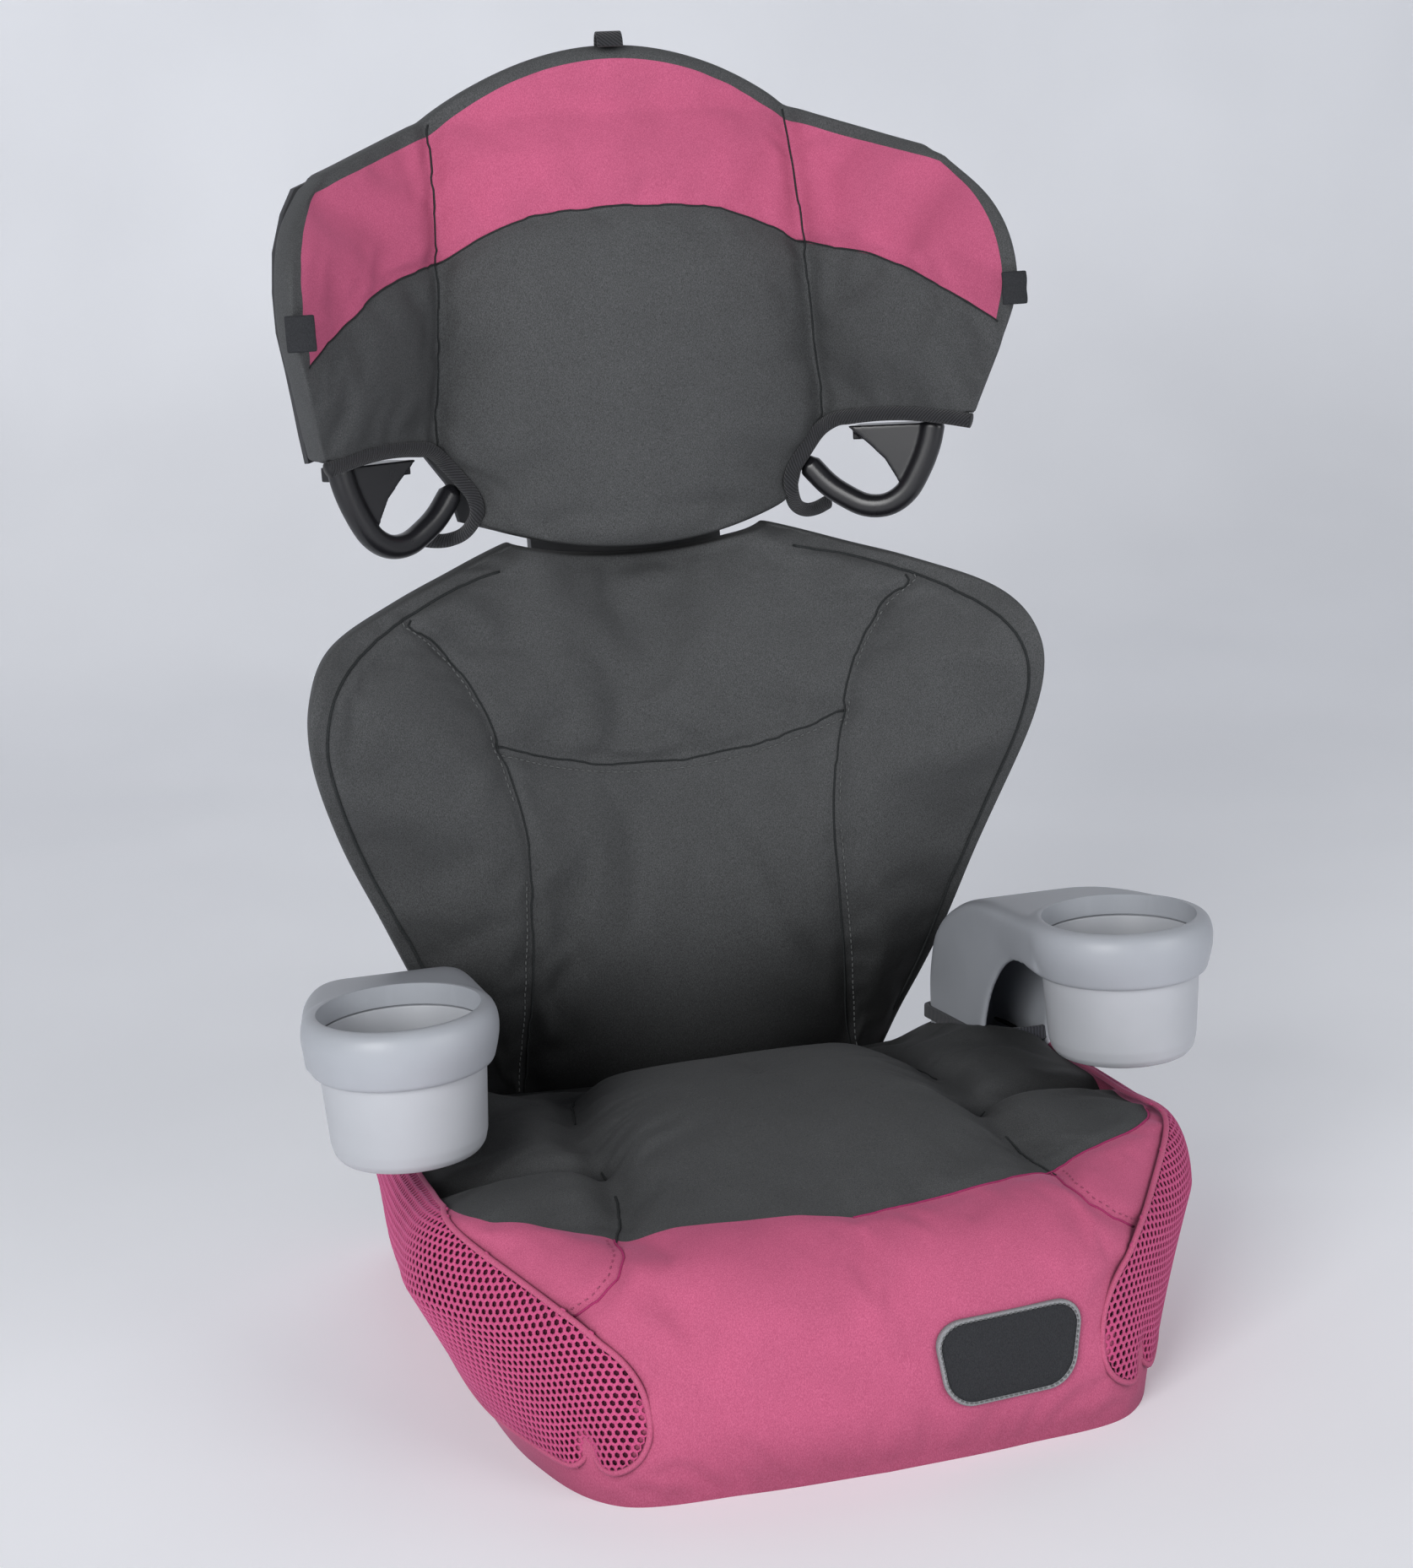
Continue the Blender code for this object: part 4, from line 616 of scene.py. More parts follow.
def thicken(obj, thickness, smooth_levels=1):
    wall = obj.modifiers.new("thickness", "SOLIDIFY")
    wall.thickness = thickness
    wall.offset = -1
    if smooth_levels:
        rounding = obj.modifiers.new("rounding", "SUBSURF")
        rounding.levels = smooth_levels
        rounding.render_levels = smooth_levels


def surface_of(obj):
    """A search tree over the object as shown."""
    return BVHTree.FromObject(obj, bpy.context.evaluated_depsgraph_get())


def laid_on(surface, path):
    """The path moved onto the surface: points and normals."""
    found = [surface.find_nearest(Vector(point)) for point in path]
    return np.array([tuple(hit[0]) for hit in found]), np.array([tuple(hit[1]) for hit in found])


def sweep(name, path, normals, profile, finish, closed=False):
    """A band along a path. The profile is (across, up from the path), and uv follows the run in metres."""
    path, normals = np.asarray(path, float), np.asarray(normals, float)
    count, around = len(path), len(profile)
    if closed:
        tangent = np.roll(path, -1, axis=0) - np.roll(path, 1, axis=0)
    else:
        tangent = np.gradient(path, axis=0)
    tangent /= np.linalg.norm(tangent, axis=1)[:, None]
    normals = normals - tangent * np.sum(normals * tangent, axis=1)[:, None]
    normals /= np.linalg.norm(normals, axis=1)[:, None]
    across = np.cross(tangent, normals)
    verts = [path[i] + across[i] * a + normals[i] * b for i in range(count) for a, b in profile]
    steps = np.linalg.norm(np.diff(path, axis=0), axis=1)
    run = np.concatenate([[0], np.cumsum(steps), [np.sum(steps) + np.linalg.norm(path[0] - path[-1])]])
    edge = [0.0]
    for i in range(around):
        (a0, b0), (a1, b1) = profile[i], profile[(i + 1) % around]
        edge.append(edge[-1] + math.hypot(a1 - a0, b1 - b0))
    faces, uvs = [], []
    for i in range(count if closed else count - 1):
        j = (i + 1) % count
        for k in range(around):
            n = (k + 1) % around
            faces.append((i * around + k, j * around + k, j * around + n, i * around + n))
            uvs += [(run[i], edge[k]), (run[i + 1], edge[k]), (run[i + 1], edge[k + 1]),
                    (run[i], edge[k + 1])]
    if not closed:
        faces += [tuple(range(around)), tuple(range((count - 1) * around, count * around))[::-1]]
        uvs += [(0, 0)] * (2 * around)
    return faces_outwards(build(name, verts, faces, [finish], uvs=uvs))


def oval(half_wide, half_high, sides=12):
    return [(half_wide * math.cos(i * math.tau / sides), half_high * math.sin(i * math.tau / sides))
            for i in range(sides)]


def band(half_wide, half_high, corner=0.0008):
    """The section of a flat tape with rounded edges."""
    spots = []
    for sign_a, sign_b, first in ((1, -1, -90), (1, 1, 0), (-1, 1, 90), (-1, -1, 180)):
        for step in range(3):
            turn = math.radians(first + 45 * step)
            spots.append((sign_a * (half_wide - corner) + corner * math.cos(turn),
                          sign_b * (half_high - corner) + corner * math.sin(turn)))
    return spots


def stitch_row(name, path, normals, finish, length=0.0028, gap=0.0014, radius=0.00042, lift=0.0002):
    """A row of separate stitches, each a small rounded capsule."""
    path, normals = np.asarray(path, float), np.asarray(normals, float)
    lengths = np.concatenate([[0], np.cumsum(np.linalg.norm(np.diff(path, axis=0), axis=1))])
    sides, verts, faces, uvs = 6, [], [], []
    start = gap
    while start + length < lengths[-1]:
        ends = []
        for at in (start, start + length):
            ends.append((np.array([np.interp(at, lengths, path[:, k]) for k in range(3)]),
                         np.array([np.interp(at, lengths, normals[:, k]) for k in range(3)])))
        (a, up), (b, _) = ends
        ahead = (b - a) / (np.linalg.norm(b - a) + 1e-9)
        side = np.cross(ahead, up)
        side /= np.linalg.norm(side) + 1e-9
        up = np.cross(side, ahead)
        first = len(verts)
        for share, wide, rise in ((0.0, 0.45, -0.6), (0.15, 1.0, 0.0), (0.85, 1.0, 0.0), (1.0, 0.45, -0.6)):
            centre = a + ahead * share * length + up * (lift + radius * rise)
            for k in range(sides):
                turn = k * math.tau / sides
                verts.append(centre + (side * math.cos(turn) + up * math.sin(turn)) * radius * wide)
        for ring in range(3):
            for k in range(sides):
                n = (k + 1) % sides
                faces.append((first + ring * sides + k, first + ring * sides + n,
                              first + (ring + 1) * sides + n, first + (ring + 1) * sides + k))
                uvs += [(0, 0), (radius, 0), (radius, length), (0, length)]
        faces += [tuple(first + k for k in range(sides))[::-1],
                  tuple(first + 3 * sides + k for k in range(sides))]
        uvs += [(0, 0)] * (2 * sides)
        start += length + gap
    return build(name, verts, faces, [finish], uvs=uvs)


def lathe(name, profile, centre, finish, steps=96):
    """A closed profile of (radius, height) points turned about the vertical."""
    verts, faces = [], []
    for i in range(steps):
        turn = i * math.tau / steps
        for radius, height in profile:
            verts.append((centre[0] + radius * math.cos(turn), centre[1] + radius * math.sin(turn), height))
    count = len(profile)
    for i in range(steps):
        j = (i + 1) % steps
        for k in range(count):
            n = (k + 1) % count
            faces.append((i * count + k, j * count + k, j * count + n, i * count + n))
    return faces_outwards(build(name, verts, faces, [finish] if finish else []), weld=True)


def rounded(profile, steps=3):
    """The profile with its corners cut into short arcs."""
    count, spots = len(profile), []
    for i in range(count):
        before, here, after = (Vector(profile[(i + d) % count]) for d in (-1, 0, 1))
        if here.x == 0:
            spots.append(tuple(here))
            continue
        reach = min(0.0012, (before - here).length * 0.35, (after - here).length * 0.35)
        start = here + (before - here).normalized() * reach
        end = here + (after - here).normalized() * reach
        for k in range(steps + 1):
            f = k / steps
            spots.append(tuple(start * (1 - f) ** 2 + here * 2 * f * (1 - f) + end * f * f))
    return spots


def fused(name, objects, voxel, finish, smoothing=6):
    """Several closed shapes made one smooth skin."""
    bpy.ops.object.select_all(action="DESELECT")
    for obj in objects:
        obj.select_set(True)
    bpy.context.view_layer.objects.active = objects[0]
    for obj in objects:
        bpy.context.view_layer.objects.active = obj
        for modifier in list(obj.modifiers):
            bpy.ops.object.modifier_apply(modifier=modifier.name)
    bpy.context.view_layer.objects.active = objects[0]
    bpy.ops.object.join()
    whole = bpy.context.view_layer.objects.active
    whole.name = name
    whole.data.name = name
    remesh = whole.modifiers.new("remesh", "REMESH")
    remesh.mode = "VOXEL"
    remesh.voxel_size = voxel
    remesh.use_smooth_shade = True
    bpy.ops.object.modifier_apply(modifier="remesh")
    relax = whole.modifiers.new("relax", "SMOOTH")
    relax.factor = 0.5
    relax.iterations = smoothing
    bpy.ops.object.modifier_apply(modifier="relax")
    whole.data.materials.clear()
    whole.data.materials.append(finish)
    whole.data.shade_smooth()
    return whole


def done(obj, body, replaced=()):
    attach(obj, body)
    if replaced:
        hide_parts(*replaced)
    return obj


# ---- headrest ----
CORD, PIPING_CORD, FOLD_CORD = 0.0006, 0.0008, 0.0005
SEAM_REACH, SEAT_SEAM_REACH = 0.0016, 0.0018         # cover points this near to a seam are held by it
COVER_THICKNESS, SEAT_COVER_THICKNESS = 0.0018, 0.0020
HEAD_COLUMNS = 80
HEAD_ROWS = 56
HEAD_HEM_SPLAY, HEAD_HEM_HALF = math.radians(20), 0.180
NOTCH_ROW = 10
BAND_ROW = 34
BAND_CENTRE_Z = curve_through([(0, 0.609), (0.051, 0.606), (0.076, 0.599), (0.095, 0.590), (0.110, 0.582),
                               (0.145, 0.570), (0.168, 0.553), (0.182, 0.542), (0.198, 0.527)])


def solve(function, target, low=0.0, high=1.0):
    """The input at which a rising function reaches the target."""
    for _ in range(24):
        middle = (low + high) / 2
        if function(middle) < target:
            low = middle
        else:
            high = middle
    return (low + high) / 2


def head_rows(u):
    """The v of each row in this column. One row lies on the notch, one on the pink band's lower edge."""
    band_v = solve(lambda v: head_point(u, v).z - BAND_CENTRE_Z(abs(head_point(u, v).x)), target=0.0,
                   low=NOTCH_V, high=1.0)
    anchors = [(0, 0.0), (NOTCH_ROW, NOTCH_V), (BAND_ROW, band_v), (HEAD_ROWS, 1.0)]
    return np.interp(range(HEAD_ROWS + 1), [row for row, _ in anchors], [v for _, v in anchors])


def head_seam(side, low=0.02, high=0.995):
    return [head_point(side * 0.5, low + (high - low) * i / 60) for i in range(61)]


def head_band_path(u_low, u_high):
    path = []
    for i in range(61):
        u = u_low + (u_high - u_low) * i / 60
        path.append(head_point(u, head_rows(u)[BAND_ROW]))
    return path


def make_headrest_cover():
    """The cover's front: pink band over charcoal, three columns, puffed between seams, with a rolled hem."""
    across = [2 * i / HEAD_COLUMNS - 1 for i in range(HEAD_COLUMNS + 1)]
    rows_at = [head_rows(u) for u in across]
    grid = [[head_point(u, rows_at[i][row]) for i, u in enumerate(across)] for row in range(HEAD_ROWS + 1)]
    quarter = HEAD_COLUMNS // 4

    def kept(row, column):
        if quarter <= column < 3 * quarter:
            return True
        rim = min(column, HEAD_COLUMNS - 1 - column)
        low_corner = row - NOTCH_ROW + rim < 2
        top_corner = (rim - 2.5) ** 2 + (HEAD_ROWS - 3.5 - row) ** 2 > 9 and rim < 3 and row > HEAD_ROWS - 4
        return row >= NOTCH_ROW and not low_corner and not top_corner

    def finish_at(row, column):
        on_hem = column in (0, HEAD_COLUMNS - 1) or row >= HEAD_ROWS - 2
        return 0 if on_hem or row < BAND_ROW else 1

    cover = grid_cover("headrest_cover_front", grid, [charcoal, pink], finish_at, kept)
    face_forwards(cover.data)
    seams = [head_seam(-1), head_seam(1)]
    bands = [head_band_path(-0.98, -0.5), head_band_path(-0.5, 0.5), head_band_path(0.5, 0.98)]
    far = np.minimum(groove(cover, seams, depth=0.0030, width=0.0050),
                     groove(cover, bands, depth=0.0022, width=0.0045))
    ruffle(cover, seams + bands, height=0.0011, pitch=0.009, reach=0.012, seed=3.0)
    pinned = boundary_of(cover.data) | set(np.flatnonzero(far < SEAM_REACH))
    puff(cover, pinned, pressure=3.2, reach=0.0065)
    add_hem(cover, HEM, HEAD_HEM_SPLAY, HEAD_HEM_HALF)
    thicken(cover, COVER_THICKNESS)
    done(cover, "headrest", ["headrest_cover"])
    skin = surface_of(cover)
    for path, word in ((seams[0], "left"), (seams[1], "right")):
        lay_cord(f"head_seam_{word}", skin, path, "headrest", CORD)
    for path, word in zip(bands, ("left", "middle", "right")):
        lay_cord(f"head_band_seam_{word}", skin, path, "headrest", CORD)


def lay_cord(name, skin, path, body, radius, finish=None):
    """A fine cord sunk along a seam."""
    spots, normals = laid_on(skin, along(path, step=0.0035))
    cord = sweep(name, spots, normals, oval(radius, radius, 8), finish or cord_charcoal)
    return done(cord, body)


def lay_stitches(name, skin, path, body, finish=None, slot="fabric_charcoal", **sizes):
    spots, normals = laid_on(skin, along(path, step=0.002))
    return done(stitch_row(name, spots, normals, finish or thread_grey, **sizes), body)


def make_wing_binding(side, word):
    """Ribbed tape along the wing's lower edge, round the centre panel's corner and back under the guide."""
    edge = [head_point(1.0 - 0.5 * i / 10, NOTCH_V) + Vector((0, 0, -0.0015)) for i in range(10)]
    edge += [head_point(0.5, NOTCH_V * share) + Vector((0.0022, 0.0015, 0))
             for share in (0.86, 0.6, 0.35, 0.12)]
    edge += [Vector(spot) for spot in ((0.1030, 0.2275, 0.4245), (0.1120, 0.238, 0.4195),
                                       (0.1220, 0.247, 0.4190), (0.1320, 0.254, 0.4215))]
    path = smooth_path([(side * x, y, z) for x, y, z in edge], 0.002)
    inwards = np.array([(side * 0.150, 0.215, 0.444)] * len(path))
    normals = np.array([(0, -1.0, 0)] * len(path)) + 0.35 * (path - inwards) / 0.05
    tape = sweep(f"wing_binding_twill_{word}", path, normals, oval(0.0046, 0.0034, 14), black_tape)
    return done(tape, "headrest", [f"wing_binding_{word}"])


def guide_frame(side):
    """The guide's own plane: first axis outwards, second up, third forwards."""
    out = Vector((side * math.cos(GUIDE_TURN), -math.sin(GUIDE_TURN), 0))
    up = Vector((0, 0, 1))
    facing = out.cross(up) if side > 0 else up.cross(out)
    matrix = Matrix((out, up, facing)).transposed().to_4x4()
    matrix.translation = Vector((side * GUIDE_ORIGIN.x, GUIDE_ORIGIN.y, GUIDE_ORIGIN.z))
    return matrix


def prism(name, outline, near, far, place_by):
    """A flat outline made solid between two depths of its own plane."""
    verts = [place_by @ Vector((a, b, depth)) for depth in (near, far) for a, b in outline]
    count = len(outline)
    faces = [tuple(range(count)), tuple(range(count, 2 * count))[::-1]]
    faces += [(i, i + count, (i + 1) % count + count, (i + 1) % count) for i in range(count)]
    return faces_outwards(build(name, verts, faces, []))


def make_belt_guide(side, word):
    """The moulded hook: a thick rounded bar in a J, a thinner web behind it, a tab on the headrest shell."""
    at = guide_frame(side)
    spine = [(-0.042, 0.008), (-0.032, -0.003), (-0.022, -0.0105), (-0.008, -0.0175), (0.006, -0.0175),
             (0.018, -0.010), (0.027, 0.004), (0.033, 0.018), (0.036, 0.030)]
    path = np.array([tuple(at @ Vector(spot)) for spot in smooth_path([(a, b, 0) for a, b in spine], 0.0015)])
    facing = np.array([tuple(at.col[2].xyz)] * len(path))
    section = [(0.0072 * math.copysign(abs(math.cos(t)) ** 0.8, math.cos(t)),
                0.0066 * math.copysign(abs(math.sin(t)) ** 0.8, math.sin(t)))
               for t in (i * math.tau / 20 for i in range(20))]
    bar = sweep(f"guide_bar_{word}", path, facing, section, black_plastic)
    web = [(-0.0165, 0.031), (-0.004, 0.020), (0.006, 0.010), (0.014, -0.004), (0.022, -0.004),
           (0.034, 0.014), (0.039, 0.031)]
    shelf = [(-0.014, 0.0225), (0.036, 0.0225), (0.036, 0.031), (-0.014, 0.031)]
    pieces = [bar, prism(f"guide_web_{word}", web, -0.0030, 0.0040, at),
              prism(f"guide_shelf_{word}", shelf, -0.019, 0.001, at)]
    for end in (path[0], path[-1]):
        ball = lathe(f"guide_end_{word}",
                     [(0, -0.0064), (0.0045, -0.0046), (0.0064, 0), (0.0045, 0.0046), (0, 0.0064)],
                     (0, 0, 0), None, 20)
        ball.data.transform(Matrix.Translation(Vector(end)))
        pieces.append(ball)
    guide = fused(f"belt_guide_hook_{word}", pieces, voxel=0.0009, finish=black_plastic, smoothing=4)
    return done(guide, "headrest", [f"belt_guide_{word}"])


TAG_FRONT = 0.0945


def make_side_tag(side, word):
    """A folded blank tag, sewn into the wing's hem; its stitched edges are not drawn."""
    at_x, half, low, high = 0.2010, 0.0078, 0.5385, 0.5575
    rows, columns = 10, 8
    grid = []
    for row in range(rows + 1):
        z = low + (high - low) * row / rows
        line = []
        for column in range(columns + 1):
            a = column / columns * 2 - 1
            wave = 0.0006 * math.sin(600 * z)
            line.append(Vector((side * (at_x + half * a), TAG_FRONT + 0.0012 * a * a + wave, z)))
        grid.append(line)
    tag = grid_cover(f"side_tag_fold_{word}", grid, [patch_dark])
    thicken(tag, thickness=0.0016)
    return done(tag, "headrest", [f"side_tag_{word}"])


def make_top_loop():
    """The small loop of twill tape in the middle of the top hem."""
    path = smooth_path([(0, 0.2035, 0.6985), (0, 0.2045, 0.7030), (0, 0.2072, 0.7062), (0, 0.2105, 0.7062),
                        (0, 0.2130, 0.7032), (0, 0.2138, 0.6985)], 0.0012)
    centre = np.array((0, 0.209, 0.700))
    loop = sweep("top_loop_tape", path, path - centre, band(0.0075, 0.0009, 0.0005), black_tape)
    return done(loop, "headrest", ["top_loop"])


# ---- backrest ----
BACK_COLUMNS = 76
BACK_GRID_ROWS = 66
SMILE_ROW = 36
SMILE_LOW, SMILE_RISE, SMILE_HALF = 0.282, 0.024, 0.103
PIPING = ((0.090, 0.404), (0.117, 0.398), (0.155, 0.384), (0.180, 0.370), (0.196, 0.355), (0.204, 0.338),
          (0.2065, 0.318), (0.203, 0.295), (0.195, 0.266), (0.184, 0.236), (0.172, 0.208), (0.160, 0.180),
          (0.147, 0.145), (0.133, 0.110))


def back_y_at(x, z):
    """How far back the torso's front lies at this spot of a front view."""
    v = solve(lambda v: back_point(min(1.0, x / BACK_EDGE_X(v)), v).z, z)
    return back_point(min(1.0, x / BACK_EDGE_X(v)), v).y


def back_seam_u(v):
    """Where the arc seam crosses this row, as a share of the half width."""
    u = 0.6
    for _ in range(6):
        u = min(0.93, BACK_SEAM_X(back_point(u, v).z) / BACK_EDGE_X(v))
    return u


def back_u(c, v):
    """The shape's own u for a column c, whose |c| = 0.5 follows the arc seam."""
    seam = back_seam_u(v)
    a = abs(c)
    u = a / 0.5 * seam if a <= 0.5 else seam + (a - 0.5) / 0.5 * (1 - seam)
    return math.copysign(u, c)


def back_spot(c, v):
    return back_point(back_u(c, v), v)


def smile_z(x):
    return SMILE_LOW + SMILE_RISE * (min(abs(x), SMILE_HALF) / SMILE_HALF) ** 2


def make_back_cover():
    """The back's cover: two arc seams, a curved cross seam, piping near the edge and a rolled border."""
    across = [2 * i / BACK_COLUMNS - 1 for i in range(BACK_COLUMNS + 1)]
    smile_v = {}
    for c in across:
        held = max(-0.5, min(0.5, c))
        smile_v[c] = solve(lambda v: back_spot(held, v).z - smile_z(back_spot(held, v).x), target=0.0,
                           low=0.2, high=0.9)
    grid = []
    for row in range(BACK_GRID_ROWS + 1):
        line = []
        for c in across:
            v = float(np.interp(row, (0, SMILE_ROW, BACK_GRID_ROWS), (0, smile_v[c], 1)))
            line.append(back_spot(c, v))
        grid.append(line)
    cover = grid_cover("back_cover_front", grid, [charcoal])
    face_forwards(cover.data)
    top_v = 0.86
    arcs = [[back_spot(side * 0.5, 0.03 + (top_v - 0.03) * i / 80) for i in range(81)] for side in (-1, 1)]
    smile = [back_spot(c, smile_v[c]) for c in across if abs(c) <= 0.5]
    piping, piping_right = [smooth_path([(side * x, back_y_at(x, z), z) for x, z in PIPING])
                            for side in (-1, 1)]
    far = groove(cover, arcs, depth=0.0026, width=0.0045)
    far = np.minimum(far, groove(cover, [smile], depth=0.0038, width=0.0055))
    edge_far = groove(cover, [piping, piping_right], depth=0.0018, width=0.0035)
    ruffle(cover, arcs + [smile], height=0.0009, pitch=0.010, reach=0.014, seed=7.0)
    pinned = boundary_of(cover.data) | set(np.flatnonzero(np.minimum(far, edge_far) < SEAM_REACH))
    puff(cover, pinned, pressure=3.0, reach=0.0060)
    add_hem(cover, HEM)
    thicken(cover, COVER_THICKNESS)
    done(cover, "backrest", ["back_cover"])
    skin = surface_of(cover)
    for path, word in zip(arcs, ("left", "right")):
        lay_cord(f"back_arc_seam_{word}", skin, path, "backrest", CORD)
        shifted = [Vector(p) + Vector((math.copysign(0.0042, p[0]), 0, 0)) for p in path]
        lay_stitches(f"back_arc_stitches_{word}", skin, shifted, "backrest")
    lay_cord("back_cross_seam", skin, smile, "backrest", CORD)
    lay_stitches("back_cross_stitches", skin, [Vector(p) + Vector((0, 0, -0.0048)) for p in smile],
                 "backrest")
    for path, word in ((piping, "left"), (piping_right, "right")):
        lay_cord(f"back_piping_{word}", skin, path, "backrest", PIPING_CORD)


# ---- seat ----
SEAT_TURNS = 300
TOP_ROWS = 26
SKIRT_ROWS = 34
CHANNELS = {
    -1: [(-0.112, -0.146), (-0.107, -0.129), (-0.102, -0.102), (-0.101, -0.082), (-0.101, -0.048),
         (-0.105, -0.016), (-0.098, 0.030), (-0.092, 0.080)],
    1: [(0.112, -0.146), (0.109, -0.134), (0.106, -0.096), (0.101, -0.056), (0.101, -0.030), (0.105, 0.000),
        (0.098, 0.040), (0.092, 0.080)],
}
FOLDS = {
    -1: [(-0.187, -0.046), (-0.161, -0.049), (-0.142, -0.053), (-0.122, -0.062), (-0.104, -0.066)],
    1: [(0.104, -0.056), (0.116, -0.048), (0.136, -0.038), (0.162, -0.030), (0.186, -0.028)],
}
SEAT_TOP = 0.118
HORN_SEAM = ((0.248, 0.500), (0.232, 0.543), (0.232, 0.583), (0.245, 0.617), (0.264, 0.647))
CUFF_RAISE = 0.011
CUFF_REACH = 0.020


def cuff_distance(x, y):
    """How far a spot lies outside the armrest's footprint; negative inside."""
    dx = abs(abs(x) - ARM_X) - ARM_HALF
    dy = abs(y - (ARM_FRONT + ARM_REAR) / 2) - (ARM_REAR - ARM_FRONT) / 2
    outside = math.hypot(max(dx, 0), max(dy, 0))
    return outside if outside > 0 else max(dx, dy)


def top_z(x, y, z, out):
    """The seat's top with its rounded cushion between the channels and the raised cuffs at the armrests."""
    cushion = math.exp(-((abs(x) / 0.088) ** 4)) * math.exp(-(((y + 0.01) / 0.13) ** 4)) * 0.007
    away = max(0.0, cuff_distance(x, y))
    raised = CUFF_RAISE * math.exp(-((away / CUFF_REACH) ** 2))
    pillow = 0.009 * math.exp(-(((abs(x) - 0.150) / 0.028) ** 2)) * math.exp(-(((y - 0.022) / 0.042) ** 2))
    inside_rim = 1 - out ** 6
    return z + (cushion + pillow) * inside_rim + raised * (1 - out ** 30)


def seat_grid():
    rows = []
    for row in range(TOP_ROWS + SKIRT_ROWS + 1):
        if row <= TOP_ROWS:
            out = max(0.0005, row / TOP_ROWS)
            level = RIM_LEVEL * out
        else:
            out = 1.0
            level = RIM_LEVEL + (1 - RIM_LEVEL) * (row - TOP_ROWS) / SKIRT_ROWS
        line = []
        for i in range(SEAT_TURNS):
            spot = seat_ring_point(i / SEAT_TURNS, level)
            if row <= TOP_ROWS:
                spot.z = top_z(spot.x, spot.y, spot.z, out)
            line.append(spot)
        rows.append(line)
    return rows


def half_of(column):
    turn = (column + 0.5) / SEAT_TURNS
    return turn * 2 if turn <= 0.5 else 2 - turn * 2


def seat_path(flat):
    """A path at the seat's top from its (x, y) spots."""
    return [(x, y, SEAT_TOP) for x, y in flat]


# The spacer-mesh panel's edge, in (half outline, ring number), and the pucker in its lower front corner.
MESH_OUTLINE = ((0.430, 0.510), (0.385, 0.545), (0.345, 0.578), (0.308, 0.608), (0.278, 0.635),
                (0.250, 0.665), (0.228, 0.705), (0.215, 0.755), (0.211, 0.810), (0.214, 0.860),
                (0.226, 0.900), (0.246, 0.922), (0.262, 0.916), (0.272, 0.895), (0.284, 0.918),
                (0.300, 0.927), (0.340, 0.915), (0.400, 0.900), (0.500, 0.880), (0.650, 0.858),
                (0.800, 0.840), (0.862, 0.822), (0.872, 0.760), (0.872, 0.660), (0.862, 0.580),
                (0.840, 0.530), (0.790, 0.508), (0.650, 0.506), (0.520, 0.506))


def inside_outline(half, level, outline=MESH_OUTLINE):
    found = False
    for (h0, l0), (h1, l1) in zip(outline, outline[1:] + outline[:1]):
        if (l0 > level) != (l1 > level) and half < h0 + (level - l0) / (l1 - l0) * (h1 - h0):
            found = not found
    return found


